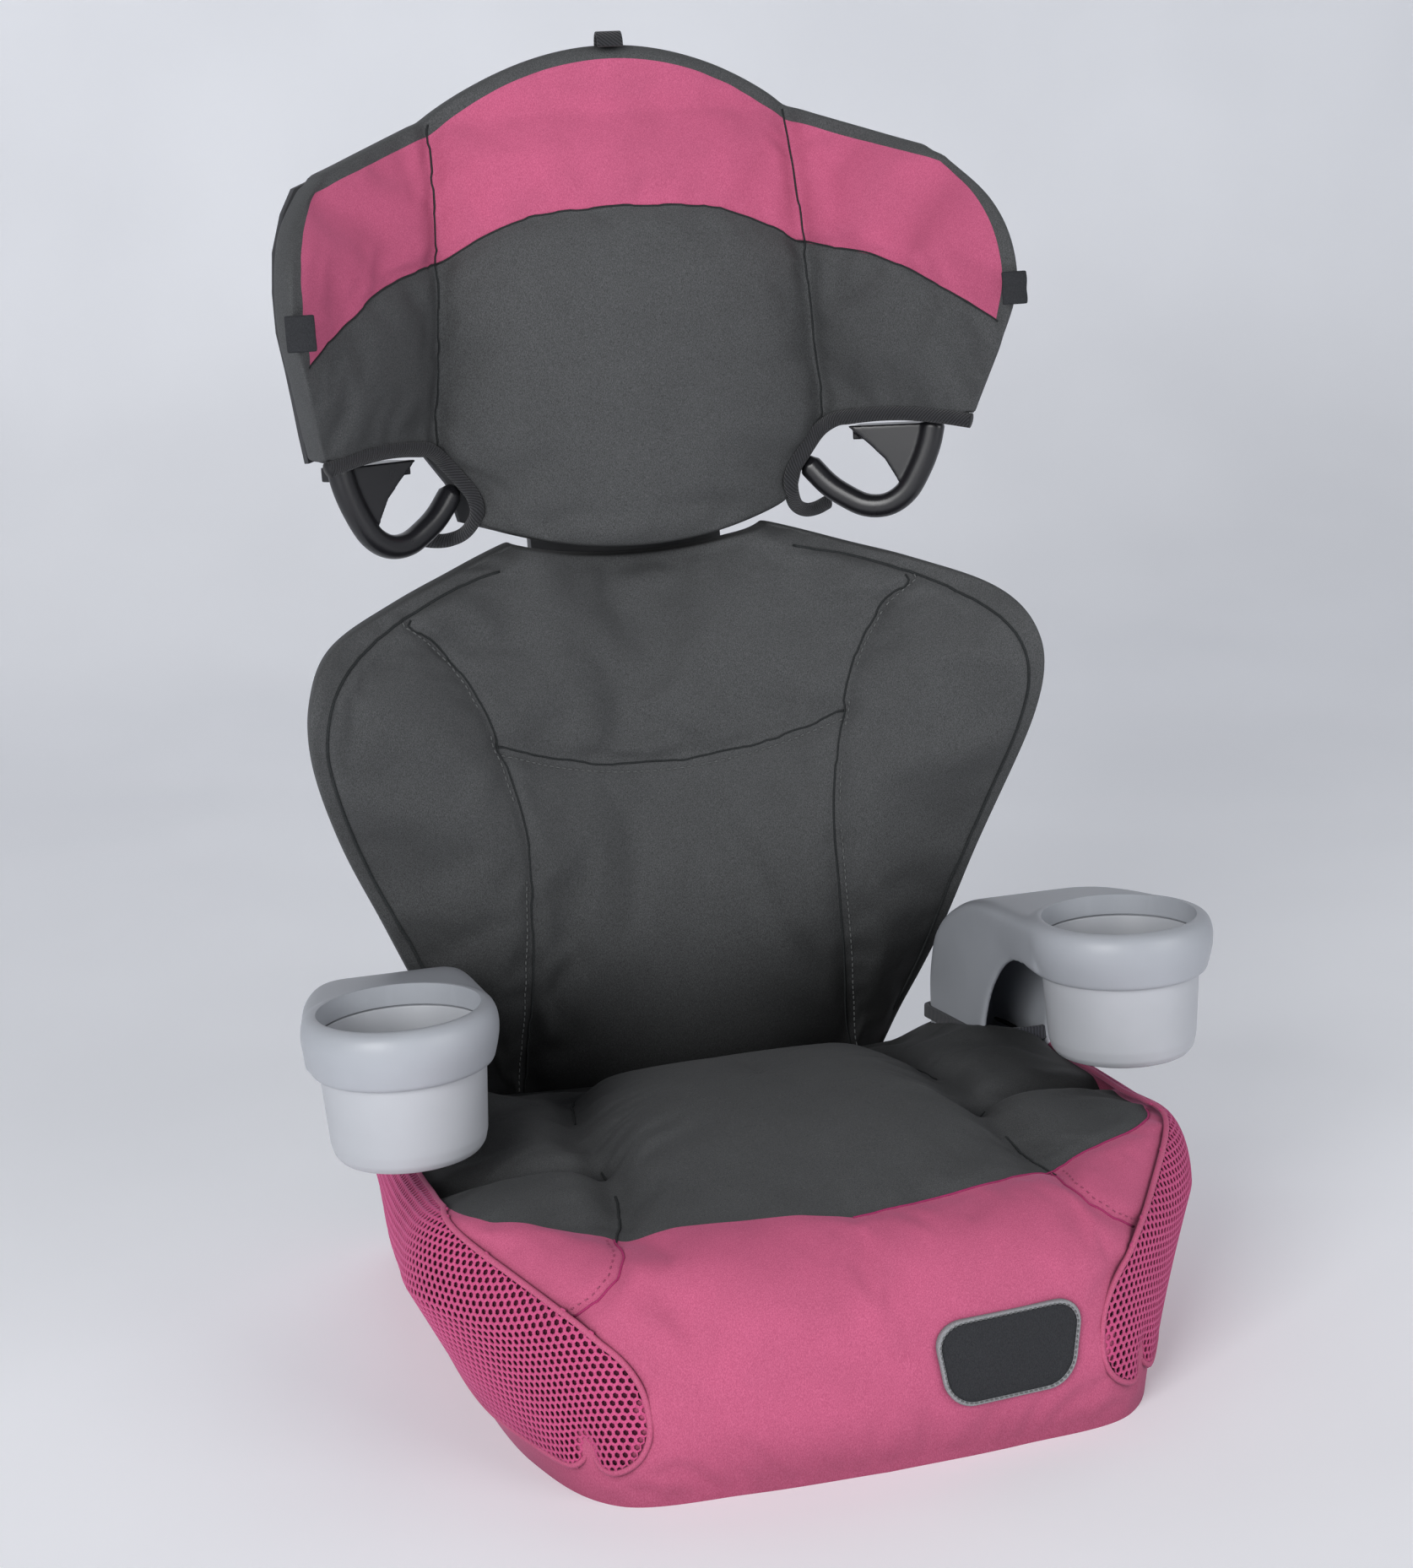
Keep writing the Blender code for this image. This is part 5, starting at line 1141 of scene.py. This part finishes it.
def make_seat_cover():
    """The seat cover: charcoal top, pink front and sides, sewn channels and folds, ending at the foot without
    a hem.
    """
    grid = seat_grid()

    def kept(row, column):
        spot = (grid[row][column] + grid[row + 1][(column + 1) % SEAT_TURNS]) / 2
        on_arm = row < TOP_ROWS + 1 and cuff_distance(spot.x, spot.y) < -0.003
        on_ledge = spot.y > BASE_REAR - 0.014 and abs(spot.x) < 0.152 and spot.z < 0.038
        return not on_arm and not on_ledge

    def finish_at(row, column):
        return 0 if row < TOP_ROWS or half_of(column) > 0.90 else 1

    cover = grid_cover("seat_cover_sewn", grid, [charcoal, pink], finish_at, kept, wrap=True)
    face_forwards(cover.data, (0, -0.3, 1))
    channels = [seat_path(CHANNELS[side]) for side in (-1, 1)]
    folds = [seat_path(FOLDS[side]) for side in (-1, 1)]
    flat_far = flat_distance(cover, channels)
    fold_far = flat_distance(cover, folds)
    sink(cover, flat_far, depth=0.0105, width=0.012)
    sink(cover, fold_far, depth=0.0080, width=0.009)
    horns = [[seat_ring_point((side * half / 2) % 1, level) for half, level in HORN_SEAM] for side in (-1, 1)]
    horn_far = groove(cover, horns, depth=0.0030, width=0.0045)
    rim = [[seat_ring_point(t / 400, RIM_LEVEL) for t in range(-84, 85)]]
    rim_far = groove(cover, rim, depth=0.0016, width=0.0040)
    ruffle(cover, channels + folds, height=0.0014, pitch=0.014, reach=0.020, seed=11.0)
    ruffle(cover, horns + rim, height=0.0010, pitch=0.011, reach=0.016, seed=17.0)
    spots = coordinates(cover.data)
    far = np.minimum.reduce([flat_far, fold_far, horn_far, rim_far])
    low = set(np.flatnonzero(spots[:, 2] < 0.012))
    cuffs = {i for i, spot in enumerate(spots) if spot[2] > 0.09 and cuff_distance(spot[0], spot[1]) < 0.004}
    sides = {i for i, spot in enumerate(spots)
             if spot[2] < 0.118 and (spot[1] > 0.13 or (abs(spot[0]) > 0.115 and spot[1] > -0.185))}
    pinned = boundary_of(cover.data) | set(np.flatnonzero(far < SEAT_SEAM_REACH)) | low | cuffs | sides
    puff(cover, pinned, pressure=2.6, reach=0.0055)
    thicken(cover, SEAT_COVER_THICKNESS)
    done(cover, "base", ["seat_cover", "seat_foam"])
    skin = surface_of(cover)
    for path, word in zip(channels, ("left", "right")):
        lay_cord(f"seat_channel_{word}", skin, path, "base", CORD)
    for path, word in zip(folds, ("left", "right")):
        lay_cord(f"seat_fold_{word}", skin, path, "base", FOLD_CORD)
    for path, word in zip(horns, ("left", "right")):
        lay_cord(f"horn_seam_{word}", skin, path, "base", CORD, deep_pink)
        beside = [(x + math.copysign(0.0035, x), y, z + 0.002) for x, y, z in path]
        lay_stitches(f"horn_stitches_{word}", skin, beside, "base", thread_pink, "mesh_pink", length=0.0018,
                     gap=0.0022, radius=0.00026)
    lay_cord("front_rim_seam", skin, rim[0], "base", CORD, deep_pink)
    return skin


def flat_distance(obj, paths):
    """Each point's distance from the paths, seen from above; points well below the top count as far away."""
    spots = coordinates(obj.data).copy()
    low = spots[:, 2] < 0.095
    spots[:, 2] = 0
    far = distance_to([[(x, y, 0) for x, y, _ in path] for path in paths], spots)
    far[low] = 1.0
    return far


def sink(obj, far, depth, width):
    """Pulls the seat's top down along its channels, less towards the front rim."""
    spots = coordinates(obj.data)
    from_rim = np.clip((spots[:, 1] + 0.152) / 0.045, 0, 1)
    spots[:, 2] -= depth * (0.30 + 0.70 * from_rim) * np.exp(-(far / width) ** 2)
    set_coordinates(obj.data, spots)


LATTICE_PITCH = 0.0042
LATTICE_HOLE = 0.64


class SideSkin:
    """The skirt of one side, laid out flat: s runs along it, and t down from the rim."""

    def __init__(self, side):
        self.side = side
        self.halves = np.linspace(0.15, 0.95, 200)
        self.levels = np.linspace(RIM_LEVEL, 1.0, 40)
        spots = np.array([[tuple(self.spot(half, level)) for level in self.levels] for half in self.halves])
        along_it = np.linalg.norm(np.diff(spots[:, 14], axis=0), axis=1)
        self.runs = np.concatenate([[0], np.cumsum(along_it)])
        down = np.linalg.norm(np.diff(spots, axis=1), axis=2)
        self.drops = np.concatenate([np.zeros((len(self.halves), 1)), np.cumsum(down, axis=1)], axis=1)

    def spot(self, half, level):
        return seat_ring_point(half / 2 if self.side > 0 else 1 - half / 2, level)

    def shape_place(self, s, t):
        """(half, level) at this place of the flat layout."""
        half = float(np.interp(s, self.runs, self.halves))
        at = float(np.interp(s, self.runs, np.arange(len(self.halves))))
        i = min(int(at), len(self.halves) - 2)
        drops = self.drops[i] * (1 - at + i) + self.drops[i + 1] * (at - i)
        return half, float(np.interp(t, drops, self.levels))

    def lifted(self, half, level, lift):
        """A point this far outside the skirt, and the normal there."""
        here = self.spot(half, level)
        ahead = self.spot(half + 0.004, level) - self.spot(half - 0.004, level)
        down = self.spot(half, min(1, level + 0.01)) - self.spot(half, max(RIM_LEVEL, level - 0.01))
        normal = ahead.cross(down).normalized()
        if normal.dot(Vector((self.side, -0.6, 0.3))) < 0:
            normal = -normal
        return here + normal * lift, normal


def pucker(half, level):
    """How far the mesh is drawn in round the pucker."""
    return 0.0035 * math.exp(-(((half - 0.272) / 0.012) ** 2) - ((level - 0.90) / 0.05) ** 2)


def make_side_mesh(side, word):
    """A spacer-mesh panel: a lattice of open hexagons over a backing of its own dark colour and painted
    shade, with a piped edge.
    """
    skirt = SideSkin(side)
    row_step = LATTICE_PITCH * math.sqrt(3) / 2
    cell = LATTICE_PITCH / math.sqrt(3)
    number, verts, faces = {}, [], []

    def vertex(s, t):
        key = (round(s, 5), round(t, 5))
        if key not in number:
            number[key] = len(verts)
            half, level = skirt.shape_place(s, t)
            verts.append(skirt.lifted(half, level, 0.0026 - pucker(half, level))[0])
        return number[key]

    corners = [math.radians(30 + 60 * k) for k in range(6)]
    for row in range(int(0.15 / row_step)):
        t = row * row_step
        for column in range(int(skirt.runs[-1] / LATTICE_PITCH)):
            s = (column + 0.5 * (row % 2)) * LATTICE_PITCH
            if not inside_outline(*skirt.shape_place(s, t)):
                continue
            outer = [vertex(s + cell * math.cos(turn), t + cell * math.sin(turn)) for turn in corners]
            inner = [vertex(s + cell * LATTICE_HOLE * math.cos(turn),
                            t + cell * LATTICE_HOLE * math.sin(turn))
                     for turn in corners]
            for k in range(6):
                n = (k + 1) % 6
                faces.append((outer[k], outer[n], inner[n], inner[k]))
    panel = build(f"side_mesh_lattice_{word}", verts, faces, [lattice_pink])
    face_forwards(panel.data, (side, 0, 0))
    thicken(panel, thickness=0.0011, smooth_levels=0)
    done(panel, "base", [f"side_mesh_{word}"])

    halves = np.linspace(0.215, 0.868, 110)
    rows = []
    for f in np.linspace(0, 1, 25):
        row = []
        for half in halves:
            inside = [level for level in skirt.levels if inside_outline(half, level)] or [0.8, 0.81]
            level = inside[0] + (inside[-1] - inside[0]) * f
            row.append(skirt.lifted(half, level, 0.0010 - pucker(half, level))[0])
        rows.append(row)
    # the backing sheet is dark partly by its own colour and partly by painted shade seen through the holes
    backing = grid_cover(f"side_mesh_backing_{word}", rows, [backing_pink_painted_shade])
    face_forwards(backing.data, (side, 0, 0))
    thicken(backing, thickness=0.0007, smooth_levels=0)
    done(backing, "base")

    loop = smooth_path([(half, level, 0) for half, level in MESH_OUTLINE + MESH_OUTLINE[:1]], 0.004)[:-1]
    placed = [skirt.lifted(half, level, 0.0018 - pucker(half, level)) for half, level, _ in loop]
    spots = along([tuple(spot) for spot, _ in placed] + [tuple(placed[0][0])], step=0.0025)[:-1]
    normals = [tuple(min(placed, key=lambda item: (item[0] - Vector(spot)).length)[1]) for spot in spots]
    edge = sweep(f"side_mesh_edge_{word}", spots, normals, oval(0.0016, 0.0014, 10), pink, closed=True)
    done(edge, "base")


def make_front_patch(skin):
    """A blank sewn patch: a grey border round a dark field, with rounded corners."""
    half_wide, half_high, corner = PATCH_HALF, PATCH_HALF_HEIGHT, PATCH_CORNER
    outline = []
    for sign_x, sign_z, first in ((1, -1, -90), (1, 1, 0), (-1, 1, 90), (-1, -1, 180)):
        for step in range(9):
            turn = math.radians(first + 90 * step / 8)
            outline.append((sign_x * (half_wide - corner) + corner * math.cos(turn),
                            sign_z * (half_high - corner) + corner * math.sin(turn)))
    rings = ((1.0, 0.0, 0), (1.0, 0.0016, 0), (0.985, 0.0024, 0), (0.93, 0.0025, 0), (0.915, 0.0018, 0),
             (0.90, 0.0017, 1), (0.6, 0.0018, 1), (0.3, 0.0019, 1), (0.02, 0.0019, 1))
    verts, faces, indices = [], [], []
    for share, lift, _ in rings:
        inset = (1 - share) * half_high
        for x, z in outline:
            scale_x, scale_z = (half_wide - inset * 1.1) / half_wide, (half_high - inset) / half_high
            if share < 0.7:
                scale_x = scale_z = share
            wide = 1 + 0.10 * z / half_high
            spot = Vector((PATCH_X + x * scale_x * wide, -0.26, PATCH_Z + z * scale_z))
            hit = skin.ray_cast(spot, Vector((0, 1, 0)))
            verts.append(hit[0] + hit[1] * lift)
    count = len(outline)
    for ring, (_, _, finish) in enumerate(rings[1:]):
        for k in range(count):
            n = (k + 1) % count
            faces.append((ring * count + k, ring * count + n, (ring + 1) * count + n, (ring + 1) * count + k))
            indices.append(finish)
    faces.append(tuple(range((len(rings) - 1) * count, len(rings) * count)))
    indices.append(1)
    patch = build("front_patch_sewn", verts, faces, [patch_border, patch_dark], indices)
    done(patch, "base", ["front_patch"])
    ring_path = [verts[3 * count + k] for k in range(count)] + [verts[3 * count]]
    spots = along(ring_path, step=0.0015)
    stitches = stitch_row("front_patch_stitches", spots, [(0, -1, 0.2)] * len(spots), thread_grey,
                          0.0016, 0.0010, 0.0003)
    done(stitches, "base")


# ---- armrests and cups ----
def make_armrest(side, word):
    """The moulded channel and its ring, made one smooth skin."""
    back_y = curve_through([(0, ARM_REAR), (0.42, 0.155), (0.5, 0.150), (0.58, 0.140), (0.7, 0.112),
                            (0.85, 0.062), (1, -0.035)])
    back_z = curve_through([(0, ARM_FOOT), (0.3, 0.105), (0.42, 0.130), (0.5, 0.149), (0.58, 0.167),
                            (0.7, 0.1865), (0.85, 0.2035), (1, 0.2148)])
    front_y = curve_through([(0, ARM_FRONT), (0.3, ARM_FRONT), (0.42, 0.053), (0.5, 0.046), (0.58, 0.036),
                             (0.7, 0.018), (0.85, -0.005), (1, -0.040)])
    front_z = curve_through([(0, ARM_FOOT), (0.3, 0.105), (0.42, 0.130), (0.5, 0.145), (0.58, 0.159),
                             (0.7, 0.175), (0.85, 0.1845), (1, 0.1870)])
    inner_x = curve_through([(0, ARM_FOOT_X - ARM_FOOT_HALF), (0.3, ARM_X - ARM_HALF),
                             (0.8, ARM_X - ARM_HALF), (1, CUP_X - RING_OUTER)])
    outer_x = curve_through([(0, ARM_FOOT_X + ARM_FOOT_HALF), (0.3, ARM_X + ARM_HALF),
                             (0.42, ARM_X + ARM_HALF), (0.5, 0.194), (0.65, 0.204), (0.8, 0.223),
                             (0.92, 0.239), (1, CUP_X + RING_OUTER)])

    def point(u, v):
        wide = (outer_x(v) - inner_x(v)) / 2
        a = abs(u)
        front = Vector((front_y(v), front_z(v)))
        back = Vector((back_y(v), back_z(v)))
        depth = (back - front).length
        round_off = min(0.014 - 0.007 * v ** 4, depth * 0.45)
        if a > 0.55:
            across, deep = wide, (1 - a) / 0.45 * (depth - round_off)
        elif a > 0.30:
            turn = (0.55 - a) / 0.25 * math.pi / 2
            across = wide - round_off * (1 - math.cos(turn))
            deep = depth - round_off * (1 - math.sin(turn))
        else:
            across, deep = (wide - round_off) * a / 0.30, depth
        spot = front + (back - front).normalized() * deep
        middle_x = (outer_x(v) + inner_x(v)) / 2
        return Vector((side * (middle_x + (across if u > 0 else -across)), spot.x, spot.y))

    grid = [[point(-1 + 2 * i / 40, j / 48) for i in range(41)] for j in range(49)]
    arm = grid_cover(f"arm_sheet_{word}", grid, [])
    face_forwards(arm.data, (0, 1, 1))
    wall = arm.modifiers.new("wall", "SOLIDIFY")
    wall.thickness = ARM_WALL
    wall.offset = -1
    ring = lathe(f"ring_{word}", [(0.0385, 0.1850), (0.0385, 0.2120), (0.0405, 0.2148), (0.0430, RING_TOP),
                                  (0.0460, 0.2142), (0.0484, 0.2115), (0.0498, 0.2070), (0.0500, 0.2020),
                                  (0.0494, 0.1970), (0.0482, 0.1920), (0.0468, 0.1870), (0.0460, 0.1840)],
                 (side * CUP_X, CUP_Y), None)
    arm = fused(f"armrest_moulded_{word}", [arm, ring], voxel=0.0012, finish=grey_plastic, smoothing=26)
    bore = lathe(f"bore_{word}", [(0, 0.25), (RING_LIP, 0.25), (RING_LIP, 0.2035),
                                  (CUP_TOP_RADIUS + 0.0005, 0.2035),
                                  (CUP_TOP_RADIUS + 0.0005, 0.10), (0, 0.10)], (side * CUP_X, CUP_Y), None)
    cut = arm.modifiers.new("bore", "BOOLEAN")
    cut.operation = "DIFFERENCE"
    cut.object = bore
    cut.solver = "EXACT"
    bpy.context.view_layer.objects.active = arm
    bpy.ops.object.modifier_apply(modifier="bore")
    bpy.data.objects.remove(bore)
    arm.data.shade_smooth()
    arm.data.materials.clear()
    arm.data.materials.append(grey_plastic)
    edges = arm.modifiers.new("edges", "BEVEL")
    edges.width = 0.0005
    edges.segments = 2
    edges.limit_method = "ANGLE"
    edges.angle_limit = math.radians(50)
    edges.harden_normals = True
    return done(arm, "base", [f"armrest_{word}"])


def make_cup(side, word):
    """The thin cup under the ring, with a rounded foot."""
    wall = 0.0022
    top = 0.2025
    profile = [(0, CUP_BOTTOM + wall), (CUP_BOTTOM_RADIUS - wall - 0.007, CUP_BOTTOM + wall),
               (CUP_BOTTOM_RADIUS - wall - 0.002, CUP_BOTTOM + wall + 0.0015),
               (CUP_BOTTOM_RADIUS - wall, CUP_BOTTOM + wall + 0.006), (CUP_TOP_RADIUS - wall, top),
               (CUP_TOP_RADIUS - 0.0002, top), (CUP_BOTTOM_RADIUS + 0.0004, CUP_BOTTOM + 0.010),
               (CUP_BOTTOM_RADIUS - 0.0010, CUP_BOTTOM + 0.0045),
               (CUP_BOTTOM_RADIUS - 0.0035, CUP_BOTTOM + 0.0012),
               (CUP_BOTTOM_RADIUS - 0.008, CUP_BOTTOM), (0, CUP_BOTTOM)]
    cup = lathe(f"cup_turned_{word}", rounded(profile), (side * CUP_X, CUP_Y), pale_plastic)
    return done(cup, "base", [f"cup_{word}"])


def make_cuff(side, word):
    """The ribbed elastic that grips the armrest where it comes through the cover."""
    clear, corner = 0.0008, 0.010
    low_x, high_x = ARM_X - ARM_HALF - clear, ARM_X + ARM_HALF + clear
    low_y, high_y = ARM_FRONT - clear, ARM_REAR + clear
    path, normals = [], []
    for x, y, first in ((high_x, low_y, -90), (high_x, high_y, 0), (low_x, high_y, 90), (low_x, low_y, 180)):
        cx = x - corner if x == high_x else x + corner
        cy = y - corner if y == high_y else y + corner
        for step in range(7):
            turn = math.radians(first + 15 * step)
            spot_x, spot_y = cx + corner * math.cos(turn), cy + corner * math.sin(turn)
            path.append((side * spot_x, spot_y, 0.1225 - 0.10 * (spot_y - ARM_FRONT)
                         - 0.05 * (spot_x - ARM_X + ARM_HALF)))
    path = along(path + path[:1], step=0.002)[:-1]
    centre = np.array((side * ARM_X, (ARM_FRONT + ARM_REAR) / 2, 0.12))
    for spot in path:
        away = spot - centre
        away[2] = 0
        normals.append((away[0] * 2.2, away[1], 0))
    tape = sweep(f"arm_cuff_{word}", path, normals, band(0.0040, 0.0017), cuff_tape, closed=True)
    return done(tape, "base", [f"arm_binding_{word}"])


# ---- the lever's spring ----
SPINE_UP = Vector((0, 0.078459, 0.996917))
SPRING_TURNS = 4.5
SPRING_RADIUS, WIRE_RADIUS = 0.0040, 0.0005


def make_lever_spring():
    """The coil between the carriage and the lever, which shortens when the lever is squeezed."""
    low, high = [Vector(corner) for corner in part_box("lever_spring")]
    rearwards = Vector((0, SPINE_UP.z, -SPINE_UP.y))
    centre = (low + high) / 2
    width = 2 * (SPRING_RADIUS + WIRE_RADIUS)
    length = (high.y - low.y - width * SPINE_UP.y) / SPINE_UP.z - 2 * WIRE_RADIUS
    path, normals = [], []
    steps = int(SPRING_TURNS * 24)
    for i in range(steps + 1):
        turn = i / 24 * math.tau
        out = Vector((math.cos(turn), 0, 0)) + SPINE_UP * math.sin(turn)
        path.append(tuple(centre + rearwards * length * (i / steps - 0.5) + out * SPRING_RADIUS))
        normals.append(tuple(out))
    coil = sweep("lever_spring_coil", path, normals, oval(WIRE_RADIUS, WIRE_RADIUS, 8), steel)
    done(coil, "headrest", ["lever_spring"])
    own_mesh(coil)


# ---- CAD pieces that keep their shape ----
NODE_FINISHES = {
    "base_shell": grey_plastic, "back_shell": dark_plastic, "back_foam": white_foam,
    "headrest_shell": dark_plastic, "headrest_carriage": dark_plastic, "head_foam": white_foam,
    "wing_foam_left": white_foam, "wing_foam_right": white_foam, "release_lever": red_plastic,
    "lever_pin": steel,
}
# How far each foam's faces are drawn in, so that the foam stays behind its puffed cover.
FOAM_SHRINK = {"back_foam": 0.0048, "head_foam": 0.0060, "wing_foam_left": 0.0080,
               "wing_foam_right": 0.0080}
ROUND_EDGE = {"base_shell": 0.0008, "back_shell": 0.0007, "headrest_shell": 0.0007,
              "headrest_carriage": 0.0008, "release_lever": 0.0007}


def finish_cad_nodes():
    """Gives each CAD node that stays in view its material, rounded edges and smooth shading."""
    for name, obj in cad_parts.items():
        if obj.hide_render:
            continue
        finish = NODE_FINISHES.get(name, steel)
        obj.data.materials.clear()
        obj.data.materials.append(finish)
        for polygon in obj.data.polygons:
            polygon.use_smooth = True
        weld = obj.modifiers.new("weld", "WELD")
        weld.merge_threshold = 0.00001
        edges = obj.modifiers.new("edges", "BEVEL")
        edges.width = ROUND_EDGE.get(name, 0.0003)
        edges.segments = 2
        edges.limit_method = "ANGLE"
        edges.angle_limit = math.radians(32)
        edges.use_clamp_overlap = True
        edges.harden_normals = True
        if name in FOAM_SHRINK:
            pressed = obj.modifiers.new("pressed", "DISPLACE")
            pressed.strength = -FOAM_SHRINK[name]
            pressed.mid_level = 0


# ---- stage, light and camera ----
def area_light(name, spot, target, size, power, colour=(1, 1, 1)):
    data = bpy.data.lights.new(name, "AREA")
    data.shape = "RECTANGLE"
    data.size, data.size_y = size
    data.energy = power
    data.color = colour
    lamp = bpy.data.objects.new(name, data)
    bpy.context.scene.collection.objects.link(lamp)
    lamp.location = spot
    lamp.rotation_mode = "QUATERNION"
    lamp.rotation_quaternion = (Vector(target) - Vector(spot)).to_track_quat("-Z", "Y")


SWEEP_PROFILE = ((-4.0, 0.0), (1.6, 0.0), (2.1, 0.08), (2.45, 0.35), (2.6, 0.8), (2.65, 4.5))
SWEEP_HALF = 5
FLOOR_GAP = 0.0005
CAMERA_SPOT = Vector((-0.3087, -1.2096, 0.5582))
CAMERA_FORWARD = Vector((0.228, 0.9526, -0.2014))
CAMERA_UP = Vector((0.1077, 0.1809, 0.9776))
CAMERA_LENS, CAMERA_SENSOR = 55.2, 36
PAPER_GLOW = 0.20
SKY_STRENGTH = 0.56
KEY_POWER, FILL_POWER, TOP_POWER = 43, 20, 4


def make_stage():
    """A pale sweep that rises behind the seat, and soft lights."""
    made, tree, shader = new_material("studio_paper", roughness=0.9)
    coords = node(tree, "ShaderNodeTexCoord").outputs["Object"]
    tone = grain(tree, coords, scale=3, detail=2.0)
    tree.links.new(between(tree, tone, 0.3, 0.7, (0.80, 0.81, 0.84), (0.86, 0.87, 0.90)),
                   shader.inputs["Base Color"])
    shader.inputs["Emission Color"].default_value = (0.80, 0.82, 0.87, 1)
    shader.inputs["Emission Strength"].default_value = PAPER_GLOW
    verts, faces = [], []
    for y, z in SWEEP_PROFILE:
        verts += [(-SWEEP_HALF, y, z - FLOOR_GAP), (SWEEP_HALF, y, z - FLOOR_GAP)]
    for i in range(len(SWEEP_PROFILE) - 1):
        faces.append((2 * i, 2 * i + 1, 2 * i + 3, 2 * i + 2))
    floor = build("studio_floor", verts, faces, [made])
    rounding = floor.modifiers.new("rounding", "SUBSURF")
    rounding.levels = rounding.render_levels = 3
    world = bpy.data.worlds.new("soft_room")
    world.use_nodes = True
    sky = world.node_tree
    direction = node(sky, "ShaderNodeTexCoord").outputs["Generated"]
    height = node(sky, "ShaderNodeSeparateXYZ", {"Vector": direction}).outputs["Z"]
    fading = between(sky, height, 0.05, 0.75, (0.80, 0.83, 0.90), (0.10, 0.105, 0.12))
    sky.links.new(fading, sky.nodes["Background"].inputs["Color"])
    sky.nodes["Background"].inputs["Strength"].default_value = SKY_STRENGTH
    bpy.context.scene.world = world
    area_light("key_light", (-1.5, -1.8, 1.15), (0, 0, 0.40), (1.2, 1.2), KEY_POWER)
    area_light("fill_light", (1.5, -1.9, 0.95), (0, 0, 0.35), (1.4, 1.4), FILL_POWER)
    area_light("top_light", (0.3, 0.9, 2.3), (0, 0.1, 0.5), (1.4, 1.0), TOP_POWER)


def make_camera():
    data = bpy.data.cameras.new("camera")
    data.lens = CAMERA_LENS
    data.sensor_width = CAMERA_SENSOR
    camera = bpy.data.objects.new("camera", data)
    bpy.context.scene.collection.objects.link(camera)
    forward = CAMERA_FORWARD.normalized()
    right = forward.cross(CAMERA_UP).normalized()
    up = right.cross(forward)
    turn = Matrix((right, up, -forward)).transposed().to_4x4()
    turn.translation = CAMERA_SPOT
    camera.matrix_world = turn
    bpy.context.scene.camera = camera
    bpy.context.scene.view_settings.view_transform = "Standard"


# ---- assembly ----
make_headrest_cover()
make_top_loop()
make_back_cover()
make_front_patch(make_seat_cover())
for side, word in SIDES:
    make_wing_binding(side, word)
    make_belt_guide(side, word)
    make_side_tag(side, word)
    make_side_mesh(side, word)
    make_armrest(side, word)
    make_cup(side, word)
    make_cuff(side, word)
make_lever_spring()
finish_cad_nodes()
make_stage()
make_camera()
